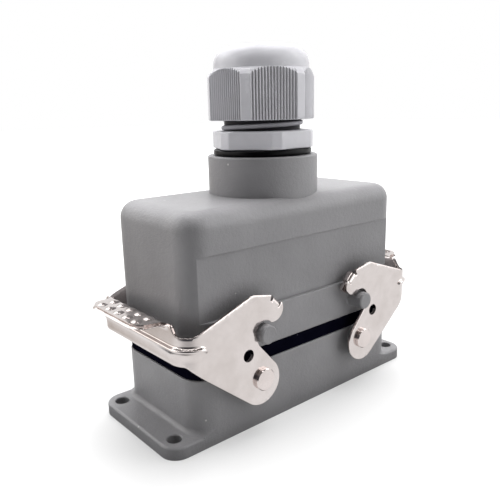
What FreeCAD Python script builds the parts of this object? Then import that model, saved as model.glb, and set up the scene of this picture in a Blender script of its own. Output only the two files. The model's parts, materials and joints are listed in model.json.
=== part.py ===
import FreeCAD, Part
import math
import os

from FreeCAD import Vector

os.makedirs("parts", exist_ok=True)

# Millimetres. The origin is the bottom centre of the flange. X runs along the connector,
# Y across it and Z up to the cable gland. The front long face looks along -Y.

# Housing: flange and body
BODY_LENGTH = 93.4
BODY_WIDTH = 43.3
BODY_CORNER = 7.5
BODY_HEIGHT = 21.6
BODY_EDGE = 0.35
HOUSING_WALL = 4.2
FLANGE_EAR = 9.4
FLANGE_THICKNESS = 4.1
FLANGE_CORNER = 5.5
FLANGE_EDGE = 0.8
FLANGE_FILLET = 1.6
HOLE_INSET_X = 4.6
HOLE_INSET_Y = 5.65
HOLE_DIAMETER = 4.6
HOLE_EDGE = 0.25
COLLAR_HEIGHT = 2.8
COLLAR_WALL = 1.7

# Seals
GASKET_HEIGHT = 4.7
GASKET_INSET = 0.35
GASKET_EDGE = 0.5
PANEL_SEAL_WIDTH = 2.0
PANEL_SEAL_DEPTH = 1.2

# Hood: its steps beyond the housing, recessed panels, boss and locking pegs
HOOD_STEP_X = 0.45
HOOD_STEP_Y = -0.15
HOOD_CORNER = 7.5
HOOD_HEIGHT = 45.6
HOOD_EDGE = 5.5
HOOD_RIM_EDGE = 0.5
HOOD_WALL = 3.5
HOOD_ROOF = 4.0
PANEL_DEPTH = 1.1
PANEL_RISE = 13.1
PANEL_HEIGHT = 19.6
PANEL_EDGE = 0.35
BOSS_STEP = 1.75
BOSS_HEIGHT = 12.7
BOSS_EDGE = 0.5
PEG_DIAMETER = 5.95
PEG_X = 23.05
PEG_RISE = 6.4
PEG_PROUD = 2.15
PEG_EDGE = 0.35
PEG_ROOT = 0.5

# Lever pivots, with the drop of their axis below the housing's rim
PIVOT_X = 24.03
PIVOT_DROP = 3.6
PIVOT_DIAMETER = 4.5
PIVOT_CLEARANCE = 0.05
PIVOT_HEAD = 7.2
PIVOT_HEAD_HEIGHT = 1.25
PIVOT_HEAD_EDGE = 0.3
PIVOT_BOSS = 7.1
PIVOT_SEAT_DEPTH = 2.2

# Lever sheet: its arms stand off the long sides and its bail off the end
SHEET = 1.3
ARM_GAP = 2.8
BAIL_GAP = 4.7
BEND_RADIUS = 7.0
LOBE_SHIFT = 0.67
LOBE_DROP = 1.0
LOBE_RADIUS = 7.6
BAIL_DROP = 3.4
BAIL_HEIGHT = 8.9
BAIL_BEND = 2.0
TOP_EDGE_START = 2.7
TOP_EDGE_BEND = 3.0
TOP_CORNER_SHIFT = 4.45
TOP_CORNER_RISE = 12.3
TOP_CORNER_RADIUS = 0.9
TOP_END_SHIFT = 3.05
TOP_END_RISE = 11.4
TOP_END_RADIUS = 0.3
HOOK_SHIFT = 3.85
HOOK_RISE = 6.7
HOOK_RADIUS = 4.05
LIP_RADIUS = 0.3
LIP_EASE = 0.05
SLOT_CLEARANCE = 0.375
SLOT_SHIFT = 0.05
SLOT_RISE = 0.7
MOUTH_SHIFT = 0.65
MOUTH_DROP = 1.7
ARM_HOLE_SHIFT = 5.77
ARM_HOLE_RISE = 9.3
ARM_HOLE_DIAMETER = 4.0

# Folded second cheek of the hook
FOLD_ANGLE = 43.5
FOLD_LENGTH = 6.0
FOLD_OUTER = 1.85
FOLD_OFFSET = 1.55
FOLD_NOTCH = 0.8

# Pressed bead, thumb tab and its grip dimples
BEAD_RISE = 5.05
BEAD_RADIUS = 0.9
BEAD_GROOVE = 0.6
TAB_REACH = 8.65
TAB_HALF_WIDTH = 15.4
TAB_CORNER = 5.5
TAB_LIFT = 3.2
TAB_BEND = 0.8
TAB_RISE = 2.5
NECK_EDGE = 4.1
NECK_FLARE = 3.0
NECK_DROP = 0.2
NECK_CORNER = 1.3
DIMPLE_MARGIN = 3.05
DIMPLE_ROWS = 2
DIMPLE_ROW_PITCH = 4.05
DIMPLES_PER_ROW = 5
DIMPLE_PITCH = 5.2
DIMPLE_BASE = 1.35
DIMPLE_HEIGHT = 0.65

# Contact inserts
INSERT_CLEARANCE = 0.55
TERMINAL_STEP = 0.4
INSERT_END_ROOM = 7.2
MATING_STEP_X = 2.3
MATING_STEP_Y = 4.4
SHROUD_GAP = 0.4
SHROUD_WALL = 1.9
INSERT_CORNER = 2.0
INSERT_FLANGE = 3.0
FEMALE_SEAT_DROP = 4.6
FEMALE_TERMINAL_HEIGHT = 11.5
FEMALE_MATING_HEIGHT = 20.0
MATED_HEIGHT = 27.5
MALE_TERMINAL_HEIGHT = 14.5
SHROUD_LIFT = 1.0
FLOOR_GAP = 1.0
PLATE_CLEARANCE = 0.4
PLATE_THICKNESS = 2.0
PLATE_TUCK = 2.0
FIXING_INSET_X = 3.75
FIXING_INSET_Y = 3.95
LUG_CLEARANCE = 0.4
LUG_INSET_Y = 4.5
LUG_HEIGHT = 8.0

# Contacts
CONTACT_COLUMNS = 3
CONTACT_PITCH = 21.0
CONTACT_INSET = 5.25
PIN_DIAMETER = 4.0
PIN_PLUNGE = 13.0
SOCKET_WALL = 1.15
SOCKET_CLEARANCE = 0.05
CLAMP_DIAMETER = 9.0
CLAMP_LENGTH = 10.5
WIRE_BORE = 5.0
WIRE_BORE_DEPTH = 8.0
BLOCK_CLEARANCE = 0.05
TERMINAL_INSET = 1.0
WINDOW = 7.0

# Screws and the lugs of the earth plates
FIXING_DIAMETER = 4.0
FIXING_HEAD = 6.4
FIXING_HEAD_HEIGHT = 2.4
FIXING_LENGTH = 9.0
TERMINAL_SCREW_DIAMETER = 4.0
TERMINAL_SCREW_LENGTH = 4.5
EARTH_SCREW_INSET = 2.9
EARTH_SCREW_LENGTH = 3.0
SLOT_WIDTH = 0.9
SLOT_DEPTH = 1.1
EARTH_LUG_WIDTH = 10.0
EARTH_LUG_THICKNESS = 1.0
EARTH_LUG_GAP = 1.3
FEMALE_LUG_HEIGHT = 15.0
MALE_LUG_HEIGHT = 19.5

# Cable gland, from the cable outwards
CABLE_BORE = 17.6
SEAL_WALL = 1.6
CAGE_WALL = 1.7
CAGE_CLEARANCE = 0.1
THREAD_WALL = 1.5
BORE_STEP = 0.8
ENTRY_WALL = 2.9
ENTRY_CLEARANCE = 0.05
ENTRY_LENGTH = 10.0
RING_STEP = 1.2
RING_HEIGHT = 2.2
BODY_HEX_STEP = 2.0
BODY_HEX_HEIGHT = 5.8
BODY_HEX_TURN = 9.0
GLAND_THREAD_LENGTH = 13.4
CAGE_DROP = 3.2
CAGE_RING_HEIGHT = 7.8
FINGER_SINK = 0.2
FINGER_TAPER = 7.0
FINGER_LEAN = 1.3
CLAW_SLOTS = 8
CLAW_SLOT_WIDTH = 1.2
SEAL_LIFT = 1.8
NUT_CLEARANCE = 0.05
NUT_WALL = 2.7
NUT_GAP = 3.4
NUT_END_GAP = 0.1
NUT_HEX_HEIGHT = 16.1
NUT_HEX_TURN = 33.8
NUT_SCALLOP = 1.9
HEX_LAND = 1.4
RIBS_PER_FLAT = 15
RIB_GROOVE_WIDTH = 0.42
RIB_GROOVE_DEPTH = 0.38
DOME_STEP = 0.55
DOME_HEIGHT = 7.5
DOME_ROUND = 6.3
CABLE_ROOM = 0.5
NUT_CROWN = 2.4
CROWN_GAP = 0.3

# How deep fused forms run into each other, and how far cutters run past what they cut
JOIN = 0.5
PAST = 1.0

# Sizes and places that follow from those above
FLANGE_LENGTH = BODY_LENGTH + 2 * FLANGE_EAR
HOLE_SPACING_X = FLANGE_LENGTH - 2 * HOLE_INSET_X
HOLE_SPACING_Y = BODY_WIDTH - 2 * HOLE_INSET_Y
INNER_LENGTH = BODY_LENGTH - 2 * HOUSING_WALL
INNER_WIDTH = BODY_WIDTH - 2 * HOUSING_WALL
INNER_CORNER = BODY_CORNER - HOUSING_WALL
GASKET_TOP_Z = BODY_HEIGHT + GASKET_HEIGHT
HOOD_LENGTH = BODY_LENGTH + 2 * HOOD_STEP_X
HOOD_WIDTH = BODY_WIDTH + 2 * HOOD_STEP_Y
HOOD_TOP_Z = GASKET_TOP_Z + HOOD_HEIGHT
BOSS_TOP_Z = HOOD_TOP_Z + BOSS_HEIGHT
PEG_Z = GASKET_TOP_Z + PEG_RISE
PIVOT_Z = BODY_HEIGHT - PIVOT_DROP
ARM_INNER_Y = BODY_WIDTH / 2 + ARM_GAP
ARM_OUTER_Y = ARM_INNER_Y + SHEET
BAIL_INNER_X = BODY_LENGTH / 2 + BAIL_GAP
BAIL_OUTER_X = BAIL_INNER_X + SHEET
BAIL_LOW_Z = PEG_Z - BAIL_DROP
BAIL_HIGH_Z = BAIL_LOW_Z + BAIL_HEIGHT
HOOK_X = PEG_X - HOOK_SHIFT
HOOK_Z = PEG_Z + HOOK_RISE
SLOT_X = PEG_X - SLOT_SHIFT
SLOT_Z = PEG_Z + SLOT_RISE
SLOT_RADIUS = PEG_DIAMETER / 2 + SLOT_CLEARANCE
BEAD_Z = BAIL_LOW_Z + BEAD_RISE
TAB_TOP_Z = BAIL_HIGH_Z + TAB_LIFT
TAB_END_X = BAIL_OUTER_X + TAB_REACH
INSERT_WIDTH = INNER_WIDTH - 2 * INSERT_CLEARANCE
TERMINAL_WIDTH = INSERT_WIDTH - 2 * TERMINAL_STEP
INSERT_LENGTH = INNER_LENGTH - 2 * INSERT_END_ROOM
MATING_LENGTH = INSERT_LENGTH - 2 * MATING_STEP_X
MATING_WIDTH = INSERT_WIDTH - 2 * MATING_STEP_Y
CONTACT_ROW_Y = MATING_WIDTH / 2 - CONTACT_INSET
FIXING_SPACING_X = INNER_LENGTH - 2 * FIXING_INSET_X
FIXING_SPACING_Y = INNER_WIDTH - 2 * FIXING_INSET_Y
PLATE_END_X = INNER_LENGTH / 2 - PLATE_CLEARANCE
EARTH_SCREW_X = PLATE_END_X - EARTH_SCREW_INSET
FEMALE_SEAT_Z = BODY_HEIGHT - FEMALE_SEAT_DROP
FEMALE_LOW_Z = FEMALE_SEAT_Z - FEMALE_TERMINAL_HEIGHT
FEMALE_TOP_Z = FEMALE_SEAT_Z + FEMALE_MATING_HEIGHT
MALE_SEAT_Z = FEMALE_SEAT_Z + MATED_HEIGHT
MALE_TOP_Z = MALE_SEAT_Z + MALE_TERMINAL_HEIGHT
SHROUD_LOW_Z = FEMALE_SEAT_Z + INSERT_FLANGE + SHROUD_LIFT
SHROUD_FLOOR_Z = FEMALE_TOP_Z + FLOOR_GAP
PIN_TIP_Z = FEMALE_TOP_Z - PIN_PLUNGE
SOCKET_DIAMETER = PIN_DIAMETER + 2 * SOCKET_CLEARANCE + 2 * SOCKET_WALL
EARTH_LUG_X = INSERT_LENGTH / 2 + EARTH_LUG_GAP
SEAL_OUTER = CABLE_BORE + 2 * SEAL_WALL
CAGE_INNER = SEAL_OUTER + 2 * CAGE_CLEARANCE
CAGE_OUTER = CAGE_INNER + 2 * CAGE_WALL
CAGE_BORE = CAGE_OUTER + 2 * CAGE_CLEARANCE
GLAND_THREAD = CAGE_BORE + 2 * THREAD_WALL
GLAND_BORE = CABLE_BORE + 2 * BORE_STEP
ENTRY_THREAD = GLAND_BORE + 2 * ENTRY_WALL
BODY_HEX = GLAND_THREAD + 2 * BODY_HEX_STEP
RING_DIAMETER = BODY_HEX + 2 * RING_STEP
BOSS_DIAMETER = RING_DIAMETER + 2 * BOSS_STEP
NUT_HEX = GLAND_THREAD + 2 * NUT_WALL
DOME_DIAMETER = NUT_HEX - 2 * DOME_STEP
NUT_HOLE = CABLE_BORE + 2 * CABLE_ROOM
RING_TOP_Z = BOSS_TOP_Z + RING_HEIGHT
BODY_HEX_TOP_Z = RING_TOP_Z + BODY_HEX_HEIGHT
THREAD_TOP_Z = BODY_HEX_TOP_Z + GLAND_THREAD_LENGTH
CAGE_LOW_Z = RING_TOP_Z + CAGE_DROP
FINGER_BEND_Z = THREAD_TOP_Z - FINGER_SINK
NUT_LOW_Z = BODY_HEX_TOP_Z + NUT_GAP
NUT_BORE_TOP_Z = NUT_LOW_Z + GLAND_THREAD_LENGTH + NUT_END_GAP
NUT_HEX_TOP_Z = NUT_LOW_Z + NUT_HEX_HEIGHT
NUT_TOP_Z = NUT_HEX_TOP_Z + DOME_HEIGHT
SIDES = (-1, 1)
X_AXIS = Vector(1, 0, 0)
Y_AXIS = Vector(0, 1, 0)
Z_AXIS = Vector(0, 0, 1)
ORIGIN = Vector(0, 0, 0)


# General forms

def outline(pegs, plane):
    """Face inside a closed outline that runs round a row of pegs like a taut string.

    Each peg is (u, v, r). A positive radius turns the string to the left, a negative one to
    the right, and 0 is a sharp corner. plane turns (u, v) into a point in space."""
    count = len(pegs)
    headings = []
    for index in range(count):
        u0, v0, r0 = pegs[index]
        u1, v1, r1 = pegs[(index + 1) % count]
        distance = math.hypot(u1 - u0, v1 - v0)
        line = math.atan2(v1 - v0, u1 - u0)
        headings.append(line - math.asin((r1 - r0) / distance))

    def at(peg, heading):
        u, v, r = peg
        return plane(u + r * math.sin(heading), v - r * math.cos(heading))

    edges = []
    for index in range(count):
        peg = pegs[index]
        arriving = headings[index - 1]
        leaving = headings[index]
        if peg[2]:
            turn = (leaving - arriving) % (2 * math.pi)
            if peg[2] < 0:
                turn -= 2 * math.pi
            middle = at(peg, arriving + turn / 2)
            edges.append(Part.Arc(at(peg, arriving), middle, at(peg, leaving)).toShape())
        start = at(peg, leaving)
        end = at(pegs[(index + 1) % count], leaving)
        if start.distanceToPoint(end) > 1e-6:
            edges.append(Part.makeLine(start, end))
    return Part.Face(Part.Wire(Part.__sortEdges__(edges)))


def flat(z):
    """Plane of a plan outline at height z."""
    return lambda x, y: Vector(x, y, z)


def side(y):
    """Plane of a side-view outline at depth y."""
    return lambda s, z: Vector(s, y, z)


def slab(length, width, corner, low, high):
    """Upright block with rounded corners, centred on the Z axis."""
    x = length / 2 - corner
    y = width / 2 - corner
    pegs = [(x, y, corner), (-x, y, corner), (-x, -y, corner), (x, -y, corner)]
    return outline(pegs, flat(low)).extrude(Vector(0, 0, high - low))


def box(x0, x1, y0, y1, z0, z1):
    """Plain block between two corners."""
    return Part.makeBox(x1 - x0, y1 - y0, z1 - z0, Vector(x0, y0, z0))


def rod(diameter, low, high, x=0, y=0):
    """Upright cylinder between two heights."""
    return Part.makeCylinder(diameter / 2, high - low, Vector(x, y, low))


def turned(points):
    """Solid turned about the Z axis from its half section, given as (radius, z) points."""
    corners = [Vector(r, 0, z) for r, z in points]
    face = Part.Face(Part.makePolygon(corners + [corners[0]]))
    return face.revolve(ORIGIN, Z_AXIS, 360)


def fuse(shapes):
    """One clean solid from shapes that overlap or touch."""
    joined = shapes[0].fuse(shapes[1:])
    return joined.removeSplitter()


def mirrored_x(shape):
    return shape.mirror(ORIGIN, X_AXIS)


def mirrored_y(shape):
    return shape.mirror(ORIGIN, Y_AXIS)


def corners_of(spacing_x, spacing_y):
    """The four corners of a rectangle centred on the origin."""
    return [(i * spacing_x / 2, j * spacing_y / 2) for i in SIDES for j in SIDES]


def save(shape, name):
    shape.exportStep("parts/" + name + ".step")


# Housing with its flange

def flange_foot(centre_x, centre_y):
    """Concave fillet where one end of the body meets the flange, trimmed to the flange."""
    r = BODY_CORNER - JOIN
    wall = BODY_CORNER
    reach = wall + FLANGE_FILLET
    top = FLANGE_THICKNESS + FLANGE_FILLET
    low = FLANGE_THICKNESS - JOIN

    def section(place):
        bend = wall + FLANGE_FILLET * (1 - math.sqrt(0.5))
        height = FLANGE_THICKNESS + FLANGE_FILLET * (1 - math.sqrt(0.5))
        curve = Part.Arc(place(wall, top), place(bend, height), place(reach, FLANGE_THICKNESS))
        lines = [
            Part.makeLine(place(r, low), place(reach, low)),
            Part.makeLine(place(reach, low), place(reach, FLANGE_THICKNESS)),
            curve.toShape(),
            Part.makeLine(place(wall, top), place(r, top)),
            Part.makeLine(place(r, top), place(r, low)),
        ]
        return Part.Face(Part.Wire(Part.__sortEdges__(lines)))

    straight = section(lambda u, z: Vector(centre_x + u, -centre_y, z))
    pieces = [straight.extrude(Vector(0, 2 * centre_y, 0))]
    for j in SIDES:
        quarter = section(lambda u, z: Vector(centre_x + u, j * centre_y, z))
        pieces.append(quarter.revolve(Vector(centre_x, j * centre_y, 0), Z_AXIS, 90 * j))
    return pieces


def make_housing():
    plate = slab(FLANGE_LENGTH, BODY_WIDTH, FLANGE_CORNER, 0, FLANGE_THICKNESS)
    rim = [e for e in plate.Edges if e.BoundBox.ZMin > FLANGE_THICKNESS - 0.01]
    plate = plate.makeFillet(FLANGE_EDGE, rim)
    body = slab(BODY_LENGTH, BODY_WIDTH, BODY_CORNER, 0, BODY_HEIGHT)
    rim = [e for e in body.Edges if e.BoundBox.ZMin > BODY_HEIGHT - BODY_EDGE]
    body = body.makeFillet(BODY_EDGE, rim)
    centre_x = BODY_LENGTH / 2 - BODY_CORNER
    centre_y = BODY_WIDTH / 2 - BODY_CORNER
    feet = []
    for piece in flange_foot(centre_x, centre_y):
        feet += [piece, mirrored_x(piece)]
    limit = slab(FLANGE_LENGTH, BODY_WIDTH, FLANGE_CORNER, 0, BODY_HEIGHT)
    feet = [piece.common(limit) for piece in feet]
    collar = slab(INNER_LENGTH + 2 * COLLAR_WALL, INNER_WIDTH + 2 * COLLAR_WALL,
                  INNER_CORNER + COLLAR_WALL, 0, BODY_HEIGHT + COLLAR_HEIGHT)
    bosses = []
    for i in SIDES:
        for j in SIDES:
            start = Vector(i * PIVOT_X, j * (BODY_WIDTH / 2 - JOIN), PIVOT_Z)
            length = ARM_GAP + JOIN - 2 * PIVOT_CLEARANCE
            bosses.append(Part.makeCylinder(PIVOT_BOSS / 2, length, start, Vector(0, j, 0)))
    shell = fuse([body, plate, collar] + feet + bosses)
    hollow = slab(INNER_LENGTH, INNER_WIDTH, INNER_CORNER, -PAST, BODY_HEIGHT + COLLAR_HEIGHT + PAST)
    shell = shell.cut(hollow)
    lugs = []
    for x, y in corners_of(FIXING_SPACING_X, FIXING_SPACING_Y):
        lugs.append(make_lug(x, y, INNER_LENGTH / 2 + JOIN, INNER_WIDTH / 2 + JOIN,
                             FEMALE_SEAT_Z - LUG_HEIGHT, FEMALE_SEAT_Z))
    shell = fuse([shell] + lugs)
    cuts = [make_panel_seal()]
    for x, y in corners_of(HOLE_SPACING_X, HOLE_SPACING_Y):
        cuts.append(rod(HOLE_DIAMETER, -PAST, FLANGE_THICKNESS + PAST, x, y))
        cuts.append(Part.makeCone(HOLE_DIAMETER / 2, HOLE_DIAMETER / 2 + 2 * HOLE_EDGE, 2 * HOLE_EDGE,
                                  Vector(x, y, FLANGE_THICKNESS - HOLE_EDGE)))
    for x, y in corners_of(FIXING_SPACING_X, FIXING_SPACING_Y):
        cuts.append(rod(FIXING_DIAMETER, FEMALE_SEAT_Z - LUG_HEIGHT - PAST, FEMALE_SEAT_Z + PAST, x, y))
    for i in SIDES:
        for j in SIDES:
            start = Vector(i * PIVOT_X, j * (BODY_WIDTH / 2 - PIVOT_SEAT_DEPTH), PIVOT_Z)
            length = PIVOT_SEAT_DEPTH + ARM_GAP
            cuts.append(Part.makeCylinder(PIVOT_DIAMETER / 2, length, start, Vector(0, j, 0)))
    return shell.cut(cuts)


def make_lug(x, y, wall_x, wall_y, low, high):
    """Block in one corner of a casting, from just clear of the insert's end out to the walls."""
    i = math.copysign(1, x)
    j = math.copysign(1, y)
    xs = sorted([i * (INSERT_LENGTH / 2 + LUG_CLEARANCE), i * wall_x])
    ys = sorted([y - j * LUG_INSET_Y, j * wall_y])
    return box(xs[0], xs[1], ys[0], ys[1], low, high)


def make_housing_gasket():
    inner_length = INNER_LENGTH + 2 * COLLAR_WALL
    inner_width = INNER_WIDTH + 2 * COLLAR_WALL
    inner_corner = INNER_CORNER + COLLAR_WALL
    outer = slab(BODY_LENGTH - 2 * GASKET_INSET, BODY_WIDTH - 2 * GASKET_INSET,
                 BODY_CORNER - GASKET_INSET, BODY_HEIGHT, GASKET_TOP_Z)
    level = [e for e in outer.Edges if e.BoundBox.ZLength < GASKET_EDGE]
    outer = outer.makeFillet(GASKET_EDGE, level)
    return outer.cut(slab(inner_length, inner_width, inner_corner, BODY_HEIGHT - PAST, GASKET_TOP_Z + PAST))


def make_panel_seal():
    """Flat ring that lies in a groove in the middle of the wall's lower end."""
    middle_length = BODY_LENGTH - HOUSING_WALL
    middle_width = BODY_WIDTH - HOUSING_WALL
    middle_corner = BODY_CORNER - HOUSING_WALL / 2
    outer = slab(middle_length + PANEL_SEAL_WIDTH, middle_width + PANEL_SEAL_WIDTH,
                 middle_corner + PANEL_SEAL_WIDTH / 2, 0, PANEL_SEAL_DEPTH)
    return outer.cut(slab(middle_length - PANEL_SEAL_WIDTH, middle_width - PANEL_SEAL_WIDTH,
                          middle_corner - PANEL_SEAL_WIDTH / 2, -PAST, PANEL_SEAL_DEPTH + PAST))


# Hood with its boss and pegs

def make_peg(i, j):
    wall = HOOD_WIDTH / 2
    radius = PEG_DIAMETER / 2
    reach = ARM_OUTER_Y + PEG_PROUD
    start = Vector(i * PEG_X, j * (wall - JOIN), PEG_Z)
    peg = Part.makeCylinder(radius, reach - wall + JOIN, start, Vector(0, j, 0))
    end = [e for e in peg.Edges if abs(e.BoundBox.Center.y) > reach - PEG_EDGE]
    peg = peg.makeChamfer(PEG_EDGE, end)
    seat = Vector(i * PEG_X, j * wall, PEG_Z)
    root = Part.makeCone(radius + PEG_ROOT, radius, PEG_ROOT, seat, Vector(0, j, 0))
    return [peg, root]


def panel_recess():
    """Cutter for the recess in a long side, with softly rounded upper and lower edges."""
    face = HOOD_WIDTH / 2
    floor = face - PANEL_DEPTH
    low = GASKET_TOP_Z + PANEL_RISE
    high = low + PANEL_HEIGHT
    edge = face - PANEL_EDGE
    beyond = 2 * PANEL_EDGE
    pegs = [
        (floor, low, 0),
        (edge, low - PANEL_EDGE, -PANEL_EDGE),
        (face, low - beyond, 0),
        (face + PAST, low - beyond, 0),
        (face + PAST, high + beyond, 0),
        (face, high + beyond, 0),
        (edge, high + PANEL_EDGE, -PANEL_EDGE),
        (floor, high, 0),
    ]
    section = outline(pegs, lambda y, z: Vector(-HOOD_LENGTH, y, z))
    return section.extrude(Vector(2 * HOOD_LENGTH, 0, 0))


def make_hood():
    inner_length = HOOD_LENGTH - 2 * HOOD_WALL
    inner_width = HOOD_WIDTH - 2 * HOOD_WALL
    inner_corner = HOOD_CORNER - HOOD_WALL
    shell = slab(HOOD_LENGTH, HOOD_WIDTH, HOOD_CORNER, GASKET_TOP_Z, HOOD_TOP_Z)
    top_rim = [e for e in shell.Edges if e.BoundBox.ZMin > HOOD_TOP_Z - HOOD_EDGE]
    shell = shell.makeFillet(HOOD_EDGE, top_rim)
    low_rim = [e for e in shell.Edges if e.BoundBox.ZMax < GASKET_TOP_Z + HOOD_RIM_EDGE]
    shell = shell.makeFillet(HOOD_RIM_EDGE, low_rim)
    recess = panel_recess()
    shell = shell.cut([recess, mirrored_y(recess)])
    boss = rod(BOSS_DIAMETER, HOOD_TOP_Z - HOOD_ROOF / 2, BOSS_TOP_Z)
    edge = [e for e in boss.Edges if e.BoundBox.ZMin > BOSS_TOP_Z - BOSS_EDGE]
    boss = boss.makeFillet(BOSS_EDGE, edge)
    solids = [shell, boss]
    for i in SIDES:
        for j in SIDES:
            solids += make_peg(i, j)
    shell = fuse(solids)
    hollow = slab(inner_length, inner_width, inner_corner, GASKET_TOP_Z - PAST, HOOD_TOP_Z - HOOD_ROOF)
    shell = shell.cut([hollow, rod(ENTRY_THREAD, HOOD_TOP_Z - HOOD_ROOF - PAST, BOSS_TOP_Z + PAST)])
    lugs = []
    for x, y in corners_of(FIXING_SPACING_X, FIXING_SPACING_Y):
        lug = make_lug(x, y, inner_length / 2 + JOIN, inner_width / 2 + JOIN,
                       MALE_SEAT_Z, MALE_SEAT_Z + LUG_HEIGHT)
        lugs.append(lug)
    shell = fuse([shell] + lugs)
    holes = [rod(FIXING_DIAMETER, MALE_SEAT_Z - PAST, MALE_SEAT_Z + LUG_HEIGHT + PAST, x, y)
             for x, y in corners_of(FIXING_SPACING_X, FIXING_SPACING_Y)]
    return shell.cut(holes)


# Locking levers, each bent from one sheet

def lip_place():
    """Middle of the small round lip where the hook's disc meets the slot, just off touching both."""
    across = SLOT_X - HOOK_X
    up = SLOT_Z - HOOK_Z
    distance = math.hypot(across, up)
    inner = HOOK_RADIUS - LIP_RADIUS + LIP_EASE
    outer = SLOT_RADIUS + LIP_RADIUS + LIP_EASE
    along = (distance ** 2 + inner ** 2 - outer ** 2) / (2 * distance)
    aside = math.sqrt(inner ** 2 - along ** 2)
    x = HOOK_X + (across * along + up * aside) / distance
    z = HOOK_Z + (up * along - across * aside) / distance
    return x, z


def lever_profile():
    """Side view of the whole sheet, extruded across the connector."""
    end = BAIL_OUTER_X + PAST
    lip_x, lip_z = lip_place()
    pegs = [
        (PIVOT_X + LOBE_SHIFT, PIVOT_Z - LOBE_DROP, LOBE_RADIUS),
        (BAIL_INNER_X, BAIL_LOW_Z - BAIL_BEND, -BAIL_BEND),
        (end, BAIL_LOW_Z, 0),
        (end, BAIL_HIGH_Z, 0),
        (BAIL_OUTER_X - TOP_EDGE_START, BAIL_HIGH_Z + TOP_EDGE_BEND, -TOP_EDGE_BEND),
        (PEG_X + TOP_CORNER_SHIFT, PEG_Z + TOP_CORNER_RISE, TOP_CORNER_RADIUS),
        (PEG_X - TOP_END_SHIFT, PEG_Z + TOP_END_RISE, TOP_END_RADIUS),
        (HOOK_X, HOOK_Z, HOOK_RADIUS),
        (lip_x, lip_z, LIP_RADIUS),
        (SLOT_X, SLOT_Z, -SLOT_RADIUS),
        (PEG_X - MOUTH_SHIFT, PEG_Z - MOUTH_DROP, -SLOT_RADIUS),
    ]
    return outline(pegs, side(-BODY_WIDTH)).extrude(Vector(0, 2 * BODY_WIDTH, 0))


def u_path(distance):
    """Centre and radius of the sheet's bend in plan, at a distance inside its outer faces."""
    return BAIL_OUTER_X - BEND_RADIUS, ARM_OUTER_Y - BEND_RADIUS, BEND_RADIUS - distance


def u_block(distance):
    """Upright block that the outer or the inner faces of the U enclose."""
    x, y, radius = u_path(distance)
    back = HOOK_X - HOOK_RADIUS - PAST
    pegs = [(x, y, radius), (back, y + radius, 0), (back, -y - radius, 0), (x, -y, radius)]
    return outline(pegs, flat(0)).extrude(Vector(0, 0, HOOD_TOP_Z))


def bead_sweep(distance, radius):
    """Round bar across the bail and round both bends, with ball ends where the arms start."""
    x, y, bend = u_path(distance)
    pieces = [Part.makeCylinder(radius, 2 * y, Vector(x + bend, -y, BEAD_Z), Y_AXIS)]
    for j in SIDES:
        start = Vector(x, j * (y + bend), BEAD_Z)
        section = Part.Face(Part.Wire(Part.makeCircle(radius, start, X_AXIS)))
        pieces.append(section.revolve(Vector(x, j * y, BEAD_Z), Z_AXIS, -90 * j))
        pieces.append(Part.makeSphere(radius, start))
    return pieces


def fold_place(u, n, y):
    """Point beside the hook: u along the fold line, n outwards from the hook's middle."""
    a = math.radians(FOLD_ANGLE)
    return Vector(HOOK_X + u * math.cos(a) - n * math.sin(a), y, HOOK_Z + u * math.sin(a) + n * math.cos(a))


def fold_block(half, n0, n1, y0, y1):
    """Block in the fold's own directions, half long each way."""
    corners = [fold_place(-half, n0, y0), fold_place(half, n0, y0), fold_place(half, n1, y0),
               fold_place(-half, n1, y0)]
    face = Part.Face(Part.makePolygon(corners + [corners[0]]))
    return face.extrude(Vector(0, y1 - y0, 0))


def cheek_and_fold():
    """Second cheek behind the hook at +Y and the half tube that joins it to the outer plate."""
    centre_y = ARM_OUTER_Y - FOLD_OUTER
    direction = fold_place(1, 0, 0) - fold_place(0, 0, 0)
    start = fold_place(-FOLD_LENGTH / 2, FOLD_OFFSET, centre_y)
    tube = Part.makeCylinder(FOLD_OUTER, FOLD_LENGTH, start, direction)
    tube = tube.cut(Part.makeCylinder(FOLD_OUTER - SHEET, FOLD_LENGTH, start, direction))
    reach = 2 * FOLD_OUTER
    keep = fold_block(FOLD_LENGTH, FOLD_OFFSET, FOLD_OFFSET + reach, centre_y - reach, centre_y + reach)
    tube = tube.common(keep)
    low_y = ARM_OUTER_Y - reach
    cheek = Part.makeCylinder(HOOK_RADIUS, SHEET, Vector(HOOK_X, low_y, HOOK_Z), Y_AXIS)
    beyond = fold_block(2 * HOOK_RADIUS, FOLD_OFFSET, 3 * HOOK_RADIUS, low_y - PAST, low_y + SHEET + PAST)
    cheek = cheek.cut(beyond)
    return [tube, cheek]


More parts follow.
